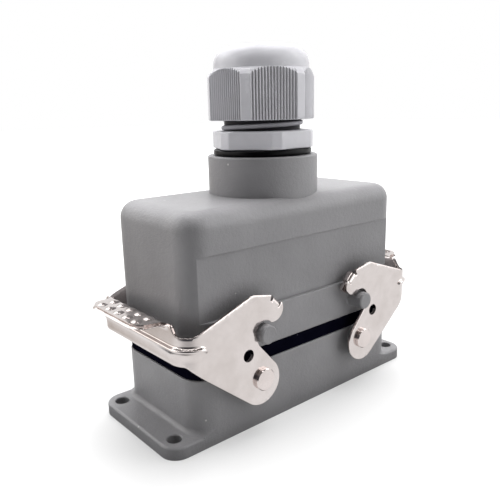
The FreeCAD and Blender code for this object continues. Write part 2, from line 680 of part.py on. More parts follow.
def tab_section():
    """Side view of the bent strip from the bail's upper part out to the tab's edge."""
    outer_bend = TAB_BEND + SHEET
    centre_x = BAIL_OUTER_X + TAB_BEND
    centre_z = TAB_TOP_Z - outer_bend
    slope = math.radians(TAB_RISE)

    def around(radius, angle):
        return Vector(centre_x + radius * math.cos(angle), 0, centre_z + radius * math.sin(angle))

    top = math.pi / 2 + slope
    middle = (math.pi + top) / 2
    along = Vector(math.cos(slope), 0, math.sin(slope)) * (TAB_END_X - centre_x)
    low = BAIL_HIGH_Z - BAIL_HEIGHT / 4
    corners = [
        Vector(BAIL_INNER_X, 0, low),
        around(outer_bend, math.pi),
        around(outer_bend, middle),
        around(outer_bend, top),
        around(outer_bend, top) + along,
        around(TAB_BEND, top) + along,
        around(TAB_BEND, top),
        around(TAB_BEND, middle),
        around(TAB_BEND, math.pi),
        Vector(BAIL_OUTER_X, 0, low),
    ]
    edges = [
        Part.makeLine(corners[0], corners[1]),
        Part.Arc(corners[1], corners[2], corners[3]).toShape(),
        Part.makeLine(corners[3], corners[4]),
        Part.makeLine(corners[4], corners[5]),
        Part.makeLine(corners[5], corners[6]),
        Part.Arc(corners[6], corners[7], corners[8]).toShape(),
        Part.makeLine(corners[8], corners[9]),
        Part.makeLine(corners[9], corners[0]),
    ]
    return Part.Face(Part.Wire(Part.__sortEdges__(edges)))


def make_neck():
    """Flared part of the bail beside the tab, with round shoulders as high as the tab."""
    half = TAB_HALF_WIDTH + NECK_EDGE
    wide = half + NECK_FLARE
    end = wide + JOIN
    top = TAB_TOP_Z - NECK_DROP
    low = BAIL_HIGH_Z - JOIN
    pegs = [
        (end, low, 0),
        (end, BAIL_HIGH_Z, 0),
        (wide, BAIL_HIGH_Z + NECK_FLARE, -NECK_FLARE),
        (half - NECK_CORNER, top - NECK_CORNER, NECK_CORNER),
        (NECK_CORNER - half, top - NECK_CORNER, NECK_CORNER),
        (-wide, BAIL_HIGH_Z + NECK_FLARE, -NECK_FLARE),
        (-end, BAIL_HIGH_Z, 0),
        (-end, low, 0),
    ]
    neck = outline(pegs, lambda y, z: Vector(BAIL_INNER_X, y, z)).extrude(Vector(SHEET, 0, 0))
    bend_z = TAB_TOP_Z - TAB_BEND - SHEET
    return neck.cut(box(BAIL_INNER_X - PAST, BAIL_OUTER_X + PAST, -TAB_HALF_WIDTH, TAB_HALF_WIDTH,
                        bend_z, TAB_TOP_Z))


def make_dimples():
    """Shallow domes in rows on the tab, each the top of a ball sunk into the sheet."""
    slope = math.radians(TAB_RISE)
    ball = (DIMPLE_BASE ** 2 + DIMPLE_HEIGHT ** 2) / (2 * DIMPLE_HEIGHT)
    sunk = ball - DIMPLE_HEIGHT
    start_angle = math.degrees(math.asin((sunk - SHEET / 4) / ball))
    up = Vector(-math.sin(slope), 0, math.cos(slope))
    dimples = []
    for row in range(DIMPLE_ROWS):
        x = TAB_END_X - DIMPLE_MARGIN - row * DIMPLE_ROW_PITCH
        z = TAB_TOP_Z + (x - BAIL_OUTER_X - TAB_BEND) * math.tan(slope)
        for column in range(DIMPLES_PER_ROW):
            y = (column - (DIMPLES_PER_ROW - 1) / 2) * DIMPLE_PITCH
            centre = Vector(x, y, z) - up * sunk
            dimples.append(Part.makeSphere(ball, centre, up, start_angle, 90, 360))
    return dimples


def make_tab():
    """Thumb tab with rounded outer corners, cut from the bent strip."""
    strip = tab_section()
    strip.translate(Vector(0, -TAB_HALF_WIDTH, 0))
    strip = strip.extrude(Vector(0, 2 * TAB_HALF_WIDTH, 0))
    x = TAB_END_X - TAB_CORNER
    y = TAB_HALF_WIDTH - TAB_CORNER
    back = BAIL_INNER_X - PAST
    plan = [(x, y, TAB_CORNER), (back, TAB_HALF_WIDTH, 0), (back, -TAB_HALF_WIDTH, 0), (x, -y, TAB_CORNER)]
    return strip.common(outline(plan, flat(0)).extrude(Vector(0, 0, HOOD_TOP_Z)))


def make_lever_right():
    sheet = u_block(0).cut(u_block(SHEET))
    sheet = sheet.common(lever_profile())
    half = FOLD_LENGTH / 2 + FOLD_NOTCH
    notch = fold_block(half, FOLD_OFFSET, FOLD_OFFSET + HOOK_RADIUS, ARM_INNER_Y - PAST, ARM_OUTER_Y + PAST)
    sheet = sheet.cut([notch, mirrored_y(notch)])
    fold = cheek_and_fold()
    added = fold + [mirrored_y(piece) for piece in fold] + [make_tab(), make_neck()] + make_dimples()
    lever = fuse([sheet] + added + bead_sweep(0, BEAD_RADIUS))
    holes = [
        (PIVOT_X, PIVOT_Z, PIVOT_DIAMETER + 2 * PIVOT_CLEARANCE),
        (PIVOT_X + ARM_HOLE_SHIFT, PIVOT_Z + ARM_HOLE_RISE, ARM_HOLE_DIAMETER),
    ]
    cuts = bead_sweep(SHEET, BEAD_GROOVE)
    for x, z, diameter in holes:
        start = Vector(x, -ARM_OUTER_Y - PAST, z)
        cuts.append(Part.makeCylinder(diameter / 2, 2 * ARM_OUTER_Y + 2 * PAST, start, Y_AXIS))
    return lever.cut(cuts)


def make_pivot_pin(i, j):
    """Headed pin pressed into the housing, with the lever's arm between boss and head."""
    seat = j * (BODY_WIDTH / 2 - PIVOT_SEAT_DEPTH)
    under_head = ARM_OUTER_Y + PIVOT_CLEARANCE
    length = under_head + PIVOT_HEAD_HEIGHT / 2 - abs(seat)
    shank = Part.makeCylinder(PIVOT_DIAMETER / 2, length, Vector(i * PIVOT_X, seat, PIVOT_Z), Vector(0, j, 0))
    start = Vector(i * PIVOT_X, j * under_head, PIVOT_Z)
    head = Part.makeCylinder(PIVOT_HEAD / 2, PIVOT_HEAD_HEIGHT, start, Vector(0, j, 0))
    rim = [e for e in head.Edges if abs(e.BoundBox.Center.y) > under_head + PIVOT_HEAD_HEIGHT / 2]
    rim = [e for e in rim if e.Length > PIVOT_HEAD]
    return fuse([head.makeChamfer(PIVOT_HEAD_EDGE, rim), shank])


# Contact inserts

def contact_places():
    places = []
    for column in range(CONTACT_COLUMNS):
        x = (column - (CONTACT_COLUMNS - 1) / 2) * CONTACT_PITCH
        for j in SIDES:
            places.append((x, j))
    return places


def clamp_middle(female):
    """Height of a terminal screw: the middle of the wire bore."""
    if female:
        return FEMALE_LOW_Z + TERMINAL_INSET + WIRE_BORE_DEPTH / 2
    return MALE_TOP_Z - TERMINAL_INSET - WIRE_BORE_DEPTH / 2


def plate_level(female):
    """Lower and upper face of the earth plates."""
    if female:
        return FEMALE_SEAT_Z, FEMALE_SEAT_Z + PLATE_THICKNESS
    return MALE_SEAT_Z - PLATE_THICKNESS, MALE_SEAT_Z


def insert_cuts(female):
    """Contact bores, screw windows and the slots that hold the earth plates."""
    middle = clamp_middle(female)
    low, high = plate_level(female)
    wide = CLAMP_DIAMETER + 2 * BLOCK_CLEARANCE
    cuts = []
    for x, j in contact_places():
        y = j * CONTACT_ROW_Y
        if female:
            cuts.append(rod(wide, FEMALE_LOW_Z - PAST, FEMALE_LOW_Z + TERMINAL_INSET + CLAMP_LENGTH, x, y))
            cuts.append(rod(SOCKET_DIAMETER + 2 * BLOCK_CLEARANCE, FEMALE_LOW_Z, FEMALE_TOP_Z + PAST, x, y))
        else:
            cuts.append(rod(wide, MALE_TOP_Z - TERMINAL_INSET - CLAMP_LENGTH, MALE_TOP_Z + PAST, x, y))
            cuts.append(rod(PIN_DIAMETER + 2 * BLOCK_CLEARANCE, SHROUD_FLOOR_Z - PAST, MALE_TOP_Z, x, y))
        ys = sorted([y, j * INSERT_WIDTH])
        half = WINDOW / 2
        cuts.append(box(x - half, x + half, ys[0], ys[1], middle - half, middle + half))
    for i in SIDES:
        xs = sorted([i * (INSERT_LENGTH / 2 - PLATE_TUCK), i * PLATE_END_X])
        cuts.append(box(xs[0], xs[1], -INSERT_WIDTH, INSERT_WIDTH, low, high))
    return cuts


def make_female_insert():
    flange_top = FEMALE_SEAT_Z + INSERT_FLANGE
    block = fuse([
        slab(INSERT_LENGTH, TERMINAL_WIDTH, INSERT_CORNER, FEMALE_LOW_Z, FEMALE_SEAT_Z),
        slab(INSERT_LENGTH, INSERT_WIDTH, INSERT_CORNER, FEMALE_SEAT_Z, flange_top),
        slab(MATING_LENGTH, MATING_WIDTH, INSERT_CORNER, flange_top, FEMALE_TOP_Z),
    ])
    return block.cut(insert_cuts(True))


def make_male_insert():
    shroud_length = MATING_LENGTH + 2 * SHROUD_GAP
    shroud_width = MATING_WIDTH + 2 * SHROUD_GAP
    flange_low = MALE_SEAT_Z - INSERT_FLANGE
    block = fuse([
        slab(shroud_length + 2 * SHROUD_WALL, shroud_width + 2 * SHROUD_WALL, INSERT_CORNER,
             SHROUD_LOW_Z, flange_low),
        slab(INSERT_LENGTH, INSERT_WIDTH, INSERT_CORNER, flange_low, MALE_SEAT_Z),
        slab(INSERT_LENGTH, TERMINAL_WIDTH, INSERT_CORNER, MALE_SEAT_Z, MALE_TOP_Z),
    ])
    hollow = slab(shroud_length, shroud_width, INSERT_CORNER, SHROUD_LOW_Z - PAST, SHROUD_FLOOR_Z)
    return block.cut([hollow] + insert_cuts(False))


def make_contacts(female):
    """Turned contacts: a clamp end with its wire bore, and a pin or a socket."""
    contacts = []
    for x, j in contact_places():
        y = j * CONTACT_ROW_Y
        if female:
            low = FEMALE_LOW_Z + TERMINAL_INSET
            top = FEMALE_TOP_Z - TERMINAL_INSET
            clamp = rod(CLAMP_DIAMETER, low, low + CLAMP_LENGTH, x, y)
            contact = clamp.fuse(rod(SOCKET_DIAMETER, low, top, x, y))
            bore = PIN_DIAMETER + 2 * SOCKET_CLEARANCE
            contact = contact.cut([rod(bore, PIN_TIP_Z - TERMINAL_INSET, top + PAST, x, y),
                                   rod(WIRE_BORE, low - PAST, low + WIRE_BORE_DEPTH, x, y)])
        else:
            high = MALE_TOP_Z - TERMINAL_INSET
            pin = rod(PIN_DIAMETER, PIN_TIP_Z, high - CLAMP_LENGTH + JOIN, x, y)
            tip = [e for e in pin.Edges if e.BoundBox.ZMax < PIN_TIP_Z + JOIN]
            contact = rod(CLAMP_DIAMETER, high - CLAMP_LENGTH, high, x, y).fuse(
                pin.makeChamfer(PIN_DIAMETER / 4, tip))
            contact = contact.cut(rod(WIRE_BORE, high - WIRE_BORE_DEPTH, high + PAST, x, y))
        start = Vector(x, j * CONTACT_ROW_Y, clamp_middle(female))
        hole = Part.makeCylinder(TERMINAL_SCREW_DIAMETER / 2, CLAMP_DIAMETER, start, Vector(0, j, 0))
        contacts.append(contact.removeSplitter().cut(hole))
    return Part.makeCompound(contacts)


def make_screw(diameter, length, head, head_height):
    """Slotted cheese-head screw along +Z: the head's underside is at z = 0."""
    shank = rod(diameter, -length, 0)
    cap = rod(head, 0, head_height)
    slot = box(-head, head, -SLOT_WIDTH / 2, SLOT_WIDTH / 2, head_height - SLOT_DEPTH, head_height + PAST)
    return shank.fuse(cap).removeSplitter().cut(slot)


def make_terminal_screws(female):
    """Headless clamp screws that press on the wires from the long sides."""
    screws = []
    for x, j in contact_places():
        screw = rod(TERMINAL_SCREW_DIAMETER, 0, TERMINAL_SCREW_LENGTH)
        slot = box(-WINDOW, WINDOW, -SLOT_WIDTH / 2, SLOT_WIDTH / 2,
                   TERMINAL_SCREW_LENGTH - SLOT_DEPTH, TERMINAL_SCREW_LENGTH + PAST)
        screw = screw.cut(slot)
        screw.rotate(ORIGIN, X_AXIS, -90 * j)
        screw.translate(Vector(x, j * (CONTACT_ROW_Y + WIRE_BORE / 4), clamp_middle(female)))
        screws.append(screw)
    return Part.makeCompound(screws)


def make_fixing_screws(female):
    """The four screws that hold an insert's plates on the lugs of its casting."""
    low, high = plate_level(female)
    screws = []
    for x, y in corners_of(FIXING_SPACING_X, FIXING_SPACING_Y):
        screw = make_screw(FIXING_DIAMETER, FIXING_LENGTH, FIXING_HEAD, FIXING_HEAD_HEIGHT)
        if not female:
            screw.rotate(ORIGIN, X_AXIS, 180)
        screw.translate(Vector(x, y, high if female else low))
        screws.append(screw)
    return Part.makeCompound(screws)


def make_earth_plate(female, i):
    """End plate of an insert with its two fixing holes, earth screw hole and contact lug."""
    low, high = plate_level(female)
    inner = INSERT_LENGTH / 2 - PLATE_TUCK
    xs = sorted([i * inner, i * PLATE_END_X])
    plate = slab(2 * PLATE_END_X, INSERT_WIDTH, INNER_CORNER, low, high)
    plate = plate.common(box(xs[0], xs[1], -INSERT_WIDTH, INSERT_WIDTH, low, high))
    half = EARTH_LUG_WIDTH / 2
    if female:
        lug = box(EARTH_LUG_X - EARTH_LUG_THICKNESS, EARTH_LUG_X, -half, half, low, low + FEMALE_LUG_HEIGHT)
    else:
        lug = box(EARTH_LUG_X, EARTH_LUG_X + EARTH_LUG_THICKNESS, -half, half, high - MALE_LUG_HEIGHT, high)
    if i < 0:
        lug = mirrored_x(lug)
    plate = fuse([plate, lug])
    holes = [rod(FIXING_DIAMETER, low - PAST, high + PAST, i * FIXING_SPACING_X / 2, j * FIXING_SPACING_Y / 2)
             for j in SIDES]
    holes.append(rod(FIXING_DIAMETER, low - PAST, high + PAST, i * EARTH_SCREW_X, 0))
    return plate.cut(holes)


def make_earth_screws(female):
    """Earth terminal screws, with their heads on the wiring side of the plates."""
    low, high = plate_level(female)
    screws = []
    for i in SIDES:
        screw = make_screw(FIXING_DIAMETER, EARTH_SCREW_LENGTH, FIXING_HEAD, FIXING_HEAD_HEIGHT)
        if female:
            screw.rotate(ORIGIN, X_AXIS, 180)
        screw.translate(Vector(i * EARTH_SCREW_X, 0, low if female else high))
        screws.append(screw)
    return Part.makeCompound(screws)


# Cable gland

def hexagon(across_flats, low, high, turn):
    """Hexagonal block whose six corners are cut back to flat lands."""
    corner = across_flats / math.sqrt(3)
    land = across_flats / 2 + HEX_LAND
    half = (corner - land) * math.tan(math.radians(60))
    pegs = []
    for k in range(6):
        a = math.radians(turn + 60 * k)
        for v in (-half, half):
            pegs.append((land * math.cos(a) - v * math.sin(a), land * math.sin(a) + v * math.cos(a), 0))
    return outline(pegs, flat(low)).extrude(Vector(0, 0, high - low))


def ribbed_hexagon(low, high):
    """The nut's hexagon with upright grooves across its flats, smooth at the corner lands."""
    corner = NUT_HEX / math.sqrt(3)
    apothem = NUT_HEX / 2
    flat_half = corner / 2 - 2 * (corner - apothem - HEX_LAND)
    pitch = 2 * flat_half / RIBS_PER_FLAT
    pegs = []
    for k in range(6):
        a = math.radians(NUT_HEX_TURN + 30 + 60 * k)
        profile = [(apothem, -flat_half)]
        for rib in range(RIBS_PER_FLAT):
            middle = (rib - (RIBS_PER_FLAT - 1) / 2) * pitch
            start = middle - RIB_GROOVE_WIDTH / 2
            end = middle + RIB_GROOVE_WIDTH / 2
            floor = apothem - RIB_GROOVE_DEPTH
            profile += [(apothem, start), (floor, start), (floor, end), (apothem, end)]
        profile.append((apothem, flat_half))
        for u, v in profile:
            pegs.append((u * math.cos(a) - v * math.sin(a), u * math.sin(a) + v * math.cos(a), 0))
    return outline(pegs, flat(low)).extrude(Vector(0, 0, high - low))


def make_gland_o_ring():
    outer = RING_DIAMETER / 2
    inner = ENTRY_THREAD / 2
    half = RING_HEIGHT / 2
    centre = Vector(outer - half, 0, BOSS_TOP_Z + half)
    curve = Part.Arc(Vector(outer - half, 0, BOSS_TOP_Z), centre + Vector(half, 0, 0),
                     Vector(outer - half, 0, RING_TOP_Z)).toShape()
    lines = [
        Part.makeLine(Vector(inner, 0, BOSS_TOP_Z), Vector(outer - half, 0, BOSS_TOP_Z)),
        curve,
        Part.makeLine(Vector(outer - half, 0, RING_TOP_Z), Vector(inner, 0, RING_TOP_Z)),
        Part.makeLine(Vector(inner, 0, RING_TOP_Z), Vector(inner, 0, BOSS_TOP_Z)),
    ]
    return Part.Face(Part.Wire(Part.__sortEdges__(lines))).revolve(ORIGIN, Z_AXIS, 360)


def make_gland_body():
    entry = ENTRY_THREAD - 2 * ENTRY_CLEARANCE
    low = BOSS_TOP_Z - ENTRY_LENGTH
    body = fuse([
        rod(entry, low, RING_TOP_Z),
        hexagon(BODY_HEX, RING_TOP_Z, BODY_HEX_TOP_Z, BODY_HEX_TURN),
        rod(GLAND_THREAD, BODY_HEX_TOP_Z, THREAD_TOP_Z),
    ])
    return body.cut([rod(GLAND_BORE, low - PAST, RING_TOP_Z + PAST),
                     rod(CAGE_BORE, RING_TOP_Z, THREAD_TOP_Z + PAST)])


def make_gland_cage():
    """Clamping claw: a ring with fingers that lean inwards under the nut's crown."""
    outer = CAGE_OUTER / 2
    inner = CAGE_INNER / 2
    tip = FINGER_BEND_Z + FINGER_TAPER
    claw = turned([(inner, CAGE_LOW_Z), (outer, CAGE_LOW_Z), (outer, FINGER_BEND_Z),
                   (outer - FINGER_LEAN, tip), (inner - FINGER_LEAN / 2, tip), (inner, FINGER_BEND_Z)])
    slots = []
    for k in range(CLAW_SLOTS):
        slot = box(0, CAGE_OUTER, -CLAW_SLOT_WIDTH / 2, CLAW_SLOT_WIDTH / 2,
                   CAGE_LOW_Z + CAGE_RING_HEIGHT, tip + PAST)
        slot.rotate(ORIGIN, Z_AXIS, 360 * k / CLAW_SLOTS)
        slots.append(slot)
    return claw.cut(slots)


def make_gland_seal():
    low = CAGE_LOW_Z + SEAL_LIFT
    return rod(SEAL_OUTER, low, FINGER_BEND_Z).cut(rod(CABLE_BORE, low - PAST, FINGER_BEND_Z + PAST))


def make_gland_nut():
    """Dome nut: ribbed hexagon with a scalloped shoulder, a rounded dome and a coned crown."""
    apothem = NUT_HEX / 2
    wide = apothem + 2 * HEX_LAND
    shoulder = turned([(0, NUT_LOW_Z), (wide, NUT_LOW_Z), (wide, NUT_HEX_TOP_Z - 2 * NUT_SCALLOP),
                       (apothem, NUT_HEX_TOP_Z), (0, NUT_HEX_TOP_Z)])
    grip = ribbed_hexagon(NUT_LOW_Z, NUT_HEX_TOP_Z).common(shoulder)
    dome = rod(DOME_DIAMETER, NUT_HEX_TOP_Z - NUT_SCALLOP, NUT_TOP_Z)
    rim = [e for e in dome.Edges if e.BoundBox.ZMin > NUT_TOP_Z - NUT_CROWN]
    dome = dome.makeFillet(DOME_ROUND, rim)
    thread = GLAND_THREAD / 2 + NUT_CLEARANCE
    ledge = CAGE_BORE / 2 + CROWN_GAP
    inside = turned([(0, NUT_LOW_Z - PAST), (thread, NUT_LOW_Z - PAST), (thread, NUT_BORE_TOP_Z),
                     (ledge, NUT_BORE_TOP_Z + CROWN_GAP), (NUT_HOLE / 2, NUT_TOP_Z - NUT_CROWN),
                     (NUT_HOLE / 2, NUT_TOP_Z + PAST), (0, NUT_TOP_Z + PAST)])
    return fuse([grip, dome]).cut(inside)


# Write every piece

lever_right = make_lever_right()
save(make_housing(), "housing")
save(make_housing_gasket(), "housing_gasket")
save(make_panel_seal(), "panel_seal")
save(make_hood(), "hood")
save(lever_right, "lever_right")
save(mirrored_x(lever_right), "lever_left")
for i, end in zip(SIDES, ("left", "right")):
    for j, face in zip(SIDES, ("front", "back")):
        save(make_pivot_pin(i, j), "pivot_pin_" + end + "_" + face)
    save(make_earth_plate(True, i), "female_earth_plate_" + end)
    save(make_earth_plate(False, i), "male_earth_plate_" + end)
save(make_female_insert(), "female_insert")
save(make_male_insert(), "male_insert")
save(make_contacts(True), "socket_contacts")
save(make_contacts(False), "pin_contacts")
save(make_terminal_screws(True), "female_terminal_screws")
save(make_terminal_screws(False), "male_terminal_screws")
save(make_earth_screws(True), "female_earth_screws")
save(make_earth_screws(False), "male_earth_screws")
save(make_fixing_screws(True), "female_fixing_screws")
save(make_fixing_screws(False), "male_fixing_screws")
save(make_gland_o_ring(), "gland_o_ring")
save(make_gland_body(), "gland_body")
save(make_gland_cage(), "gland_cage")
save(make_gland_seal(), "gland_seal")
save(make_gland_nut(), "gland_nut")
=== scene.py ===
import json
import math

import bpy
import numpy as np
from mathutils import Matrix, Vector
from mathutils.geometry import delaunay_2d_cdt


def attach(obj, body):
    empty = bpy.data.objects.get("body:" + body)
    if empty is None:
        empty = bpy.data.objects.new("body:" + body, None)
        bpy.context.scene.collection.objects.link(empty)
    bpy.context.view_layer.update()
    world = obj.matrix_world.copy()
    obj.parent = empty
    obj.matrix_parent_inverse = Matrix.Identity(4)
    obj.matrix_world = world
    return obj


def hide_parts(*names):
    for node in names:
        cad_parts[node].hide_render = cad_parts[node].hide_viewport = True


# Heavy duty rectangular connector. Shapes are worked out in millimetres and stored in metres.

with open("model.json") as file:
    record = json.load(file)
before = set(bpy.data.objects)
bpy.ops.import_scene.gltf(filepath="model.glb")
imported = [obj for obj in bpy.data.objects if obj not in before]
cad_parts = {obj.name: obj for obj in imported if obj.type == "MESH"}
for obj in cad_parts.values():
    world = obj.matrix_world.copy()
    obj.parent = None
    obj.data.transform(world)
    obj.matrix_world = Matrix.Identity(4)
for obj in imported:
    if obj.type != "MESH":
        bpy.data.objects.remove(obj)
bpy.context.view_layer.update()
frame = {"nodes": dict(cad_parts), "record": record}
mm = 0.001
white = (1, 1, 1, 1)
mergeGap = 1e-4         # points of an outline nearer than this are one
cutAccuracy = 1e-6      # the triangulation's
trianglesInside = 1     # what it gives: the triangles inside the outline's edges
chunkSize = 400         # points compared with all others at a time


# Mesh helpers

def makeMesh(name, points, faces):
    # Smooth object at the origin from an (n, 3) array of millimetres and an array of faces.
    mesh = bpy.data.meshes.new(name)
    mesh.from_pydata((points * mm).tolist(), [], faces.tolist())
    mesh.validate()
    mesh.shade_smooth()
    piece = bpy.data.objects.new(name, mesh)
    bpy.context.scene.collection.objects.link(piece)
    return piece


def turnedPiece(name, rows, angles):
    # Rows of (radius, height), each a number or an array over the angles, carried round the axis as a band
    # that closes both ways: point (s, a) = (r cos a, r sin a, z). Gives the piece and its radii and heights.
    radii, heights = (np.array([np.broadcast_to(row[i], angles.shape) for row in rows]) for i in (0, 1))
    points = np.stack([radii * np.cos(angles), radii * np.sin(angles), heights], -1)
    here = np.arange(radii.size).reshape(radii.shape)
    beside = np.roll(here, -1, 1)
    faces = np.stack([here, beside, np.roll(beside, -1, 0), np.roll(here, -1, 0)], -1)
    return makeMesh(name, points.reshape(-1, 3), faces.reshape(-1, 4)), radii, heights


def addShade(piece, values):
    # How far each point's colour is darkened by painted shade, from 0 to 1, for its material: the dark of
    # shaded grooves and hollows.
    shade = piece.data.attributes.new("shade", "FLOAT", "POINT")
    shade.data.foreach_set("value", values.astype(np.float32).ravel())


def smoothStep(t):
    # 3 t^2 - 2 t^3, held at 0 and 1 outside its range.
    t = np.clip(t, 0, 1)
    return t * t * (3 - 2 * t)


def wave(angles, rows):
    # Sum of amplitude * sin(count * angle + phase) over the rows.
    return sum(amp * np.sin(count * angles + phase) for amp, count, phase in rows)


def hexRadius(angles, s):
    # Radius of a hexagon, apothem / cos of the angle from the nearest flat, cut off at the corner lands,
    # which stand a land's height over the flats. The first land is at the turn.
    apothem = s["acrossFlats"] / 2
    sixth = math.pi / 3
    fromFlat = (angles - s["turn"]) % sixth - sixth / 2
    fromCorner = (angles - s["turn"] + sixth / 2) % sixth - sixth / 2
    return np.minimum(apothem / np.cos(fromFlat), (apothem + s["land"]) / np.cos(fromCorner))


def dress(piece, body, material, slot, *nodes):
    # Piece rides on a body, wears one material and stands for the nodes it replaces.
    piece.data.materials.append(material)
    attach(piece, body)
    if nodes:
        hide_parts(*nodes)


# Shader helpers

def feed(tree, entry, value):
    # Links a socket to a node's entry, or gives the entry a fixed value.
    if isinstance(value, bpy.types.NodeSocket):
        tree.links.new(value, entry)
    else:
        entry.default_value = value


def addNode(tree, kind, **values):
    # Node with its entries and settings from the keywords, an underscore standing for a space in an entry.
    node = tree.nodes.new("ShaderNode" + kind)
    for key, value in values.items():
        entry = key.replace("_", " ")
        if entry in node.inputs:
            feed(tree, node.inputs[entry], value)
        else:
            setattr(node, key, value)
    return node


def joinNode(tree, kind, *entries, **settings):
    # Node with its first entries in order, where they share one name.
    node = addNode(tree, kind, **settings)
    for entry, value in zip(node.inputs, entries):
        feed(tree, entry, value)
    return node


def useGroup(tree, group, place, **values):
    return addNode(tree, "Group", node_tree=group, Coordinates=place, **values)


def mixColour(tree, factor, first, second):
    # Colour between the first and the second, by the factor.
    mix = addNode(tree, "Mix", data_type="RGBA", Factor=factor, A=first, B=second)
    return mix.outputs["Result"]


def addRange(tree, value, reach, span=(0, 1), shape="LINEAR"):
    # Value carried over from the reach to the span, evenly or by a smooth step.
    node = addNode(tree, "MapRange", interpolation_type=shape, Value=value, From_Min=reach[0],
                   From_Max=reach[1], To_Min=span[0], To_Max=span[1])
    return node.outputs["Result"]


def newGroup(name, inputs, outputs):
    # Node group with named sockets, given as (name, kind, default), and its two end nodes.
    group = bpy.data.node_groups.new(name, "ShaderNodeTree")
    for label, kind, default in inputs:
        socket = group.interface.new_socket(label, in_out="INPUT", socket_type="NodeSocket" + kind)
        if default is not None:
            socket.default_value = default
    for label, kind in outputs:
        group.interface.new_socket(label, in_out="OUTPUT", socket_type="NodeSocket" + kind)
    return group, group.nodes.new("NodeGroupInput"), group.nodes.new("NodeGroupOutput")


def makeDrift():
    # Soft blotches: two colours mixed by a wide noise.
    group, give, take = newGroup("softBlotches", [
        ("Coordinates", "Vector", None), ("Size", "Float", 100.0), ("First", "Color", white),
        ("Second", "Color", white)], [("Color", "Color"), ("Mask", "Float")])
    noise = addNode(group, "TexNoise", Detail=4.0, Roughness=0.6, Vector=give.outputs["Coordinates"],
                    Scale=give.outputs["Size"])
    mask = addRange(group, noise.outputs["Fac"], reach=(0.3, 0.7))
    colour = mixColour(group, mask, give.outputs["First"], give.outputs["Second"])
    feed(group, take.inputs["Color"], colour)
    feed(group, take.inputs["Mask"], mask)
    return group


def makeGrain():
    # Fine pebbled skin: the height of a small noise over a wider one.
    group, give, take = newGroup("pebbledSkin", [
        ("Coordinates", "Vector", None), ("Fine", "Float", 1500.0), ("Coarse", "Float", 400.0),
        ("Coarse Share", "Float", 0.5)], [("Height", "Float")])
    place = give.outputs["Coordinates"]
    fine = addNode(group, "TexNoise", Detail=3.0, Roughness=0.55, Vector=place, Scale=give.outputs["Fine"])
    coarse = addNode(group, "TexNoise", Detail=2.0, Roughness=0.5, Vector=place, Scale=give.outputs["Coarse"])
    blend = addNode(group, "Mix", data_type="FLOAT", Factor=give.outputs["Coarse Share"],
                    A=fine.outputs["Fac"], B=coarse.outputs["Fac"])
    feed(group, take.inputs["Height"], blend.outputs["Result"])
    return group


def makeSpecks():
    # Scattered small spots: a mask that is 1 in the middle of a few cells.
    group, give, take = newGroup("scatteredSpecks", [
        ("Coordinates", "Vector", None), ("Spacing", "Float", 200.0), ("Spot", "Float", 0.12),
        ("Share", "Float", 0.2)], [("Mask", "Float")])
    cells = addNode(group, "TexVoronoi", feature="F1", Vector=give.outputs["Coordinates"],
                    Scale=give.outputs["Spacing"])
    split = addNode(group, "SeparateColor", Color=cells.outputs["Color"])
    pick = joinNode(group, "Math", split.outputs["Red"], give.outputs["Share"], operation="LESS_THAN")
    near = joinNode(group, "Math", cells.outputs["Distance"], give.outputs["Spot"], operation="LESS_THAN")
    both = joinNode(group, "Math", pick.outputs[0], near.outputs[0], operation="MULTIPLY")
    feed(group, take.inputs["Mask"], both.outputs[0])
    return group


drift = makeDrift()
grain = makeGrain()
specks = makeSpecks()


def newMaterial(name, **surface):
    # Material with a Principled shader set from the keywords; gives its tree, shader and coordinates.
    material = bpy.data.materials.new(name)
    material.use_nodes = True
    tree = material.node_tree
    shader = tree.nodes["Principled BSDF"]
    for key, value in surface.items():
        shader.inputs[key.replace("_", " ")].default_value = value
    place = addNode(tree, "TexCoord")
    return material, tree, shader, place.outputs["Object"]


def setSurface(tree, shader, colour, value, roughness, height, bump, depth):
    # Colour, roughness spread over its two ends by a value, and a bump of a strength and depth by a height.
    relief = addNode(tree, "Bump", Strength=bump, Distance=depth, Height=height)
    feed(tree, shader.inputs["Base Color"], colour)
    feed(tree, shader.inputs["Roughness"], addRange(tree, value, (0, 1), roughness))
    feed(tree, shader.inputs["Normal"], relief.outputs["Normal"])


# Materials

castingPaint = {
    "dark": (0.228, 0.225, 0.233, 1),
    "pale": (0.274, 0.269, 0.279, 1),
    "wear": (0.52, 0.50, 0.50, 1),
    "roughness": (0.30, 0.42),
    "bump": 0.5,
}
# Painted shade: the near-black that the nylon's shaded grooves, threads and bore are darkened toward.
paintedGrooveShade = (0.010, 0.009, 0.012, 1)
dustPale = (0.10, 0.10, 0.12, 1)


def paintedCasting():
    # Grey paint on a die casting: faint blotches, orange-peel skin and a few pale specks.
    s = castingPaint
    material, tree, shader, place = newMaterial("paintedCasting")
    blotch = useGroup(tree, drift, place, Size=55.0, First=s["dark"], Second=s["pale"])
    skin = useGroup(tree, grain, place, Fine=2100.0, Coarse=750.0, Coarse_Share=0.55).outputs["Height"]
    spots = useGroup(tree, specks, place, Spacing=160.0, Spot=0.05, Share=0.25)
    colour = mixColour(tree, spots.outputs["Mask"], blotch.outputs["Color"], s["wear"])
    setSurface(tree, shader, colour, skin, s["roughness"], skin, bump=s["bump"], depth=0.0004)
    return material


def glossyNylon(name, dark, pale, roughness, shine=0.5):
    # Moulded nylon: nearly smooth, with faint flow blotches, and painted shade that darkens its colour by the
    # shade attribute, in grooves and hollows.
    material, tree, shader, place = newMaterial(name, Specular_IOR_Level=shine)
    blotch = useGroup(tree, drift, place, Size=90.0, First=dark, Second=pale)
    skin = useGroup(tree, grain, place, Fine=1300.0, Coarse=260.0, Coarse_Share=0.7).outputs["Height"]
    shade = addNode(tree, "Attribute", attribute_name="shade")
    colour = mixColour(tree, shade.outputs["Fac"], blotch.outputs["Color"], paintedGrooveShade)
    setSurface(tree, shader, colour, blotch.outputs["Mask"], roughness, skin, bump=0.05, depth=0.0004)
    return material


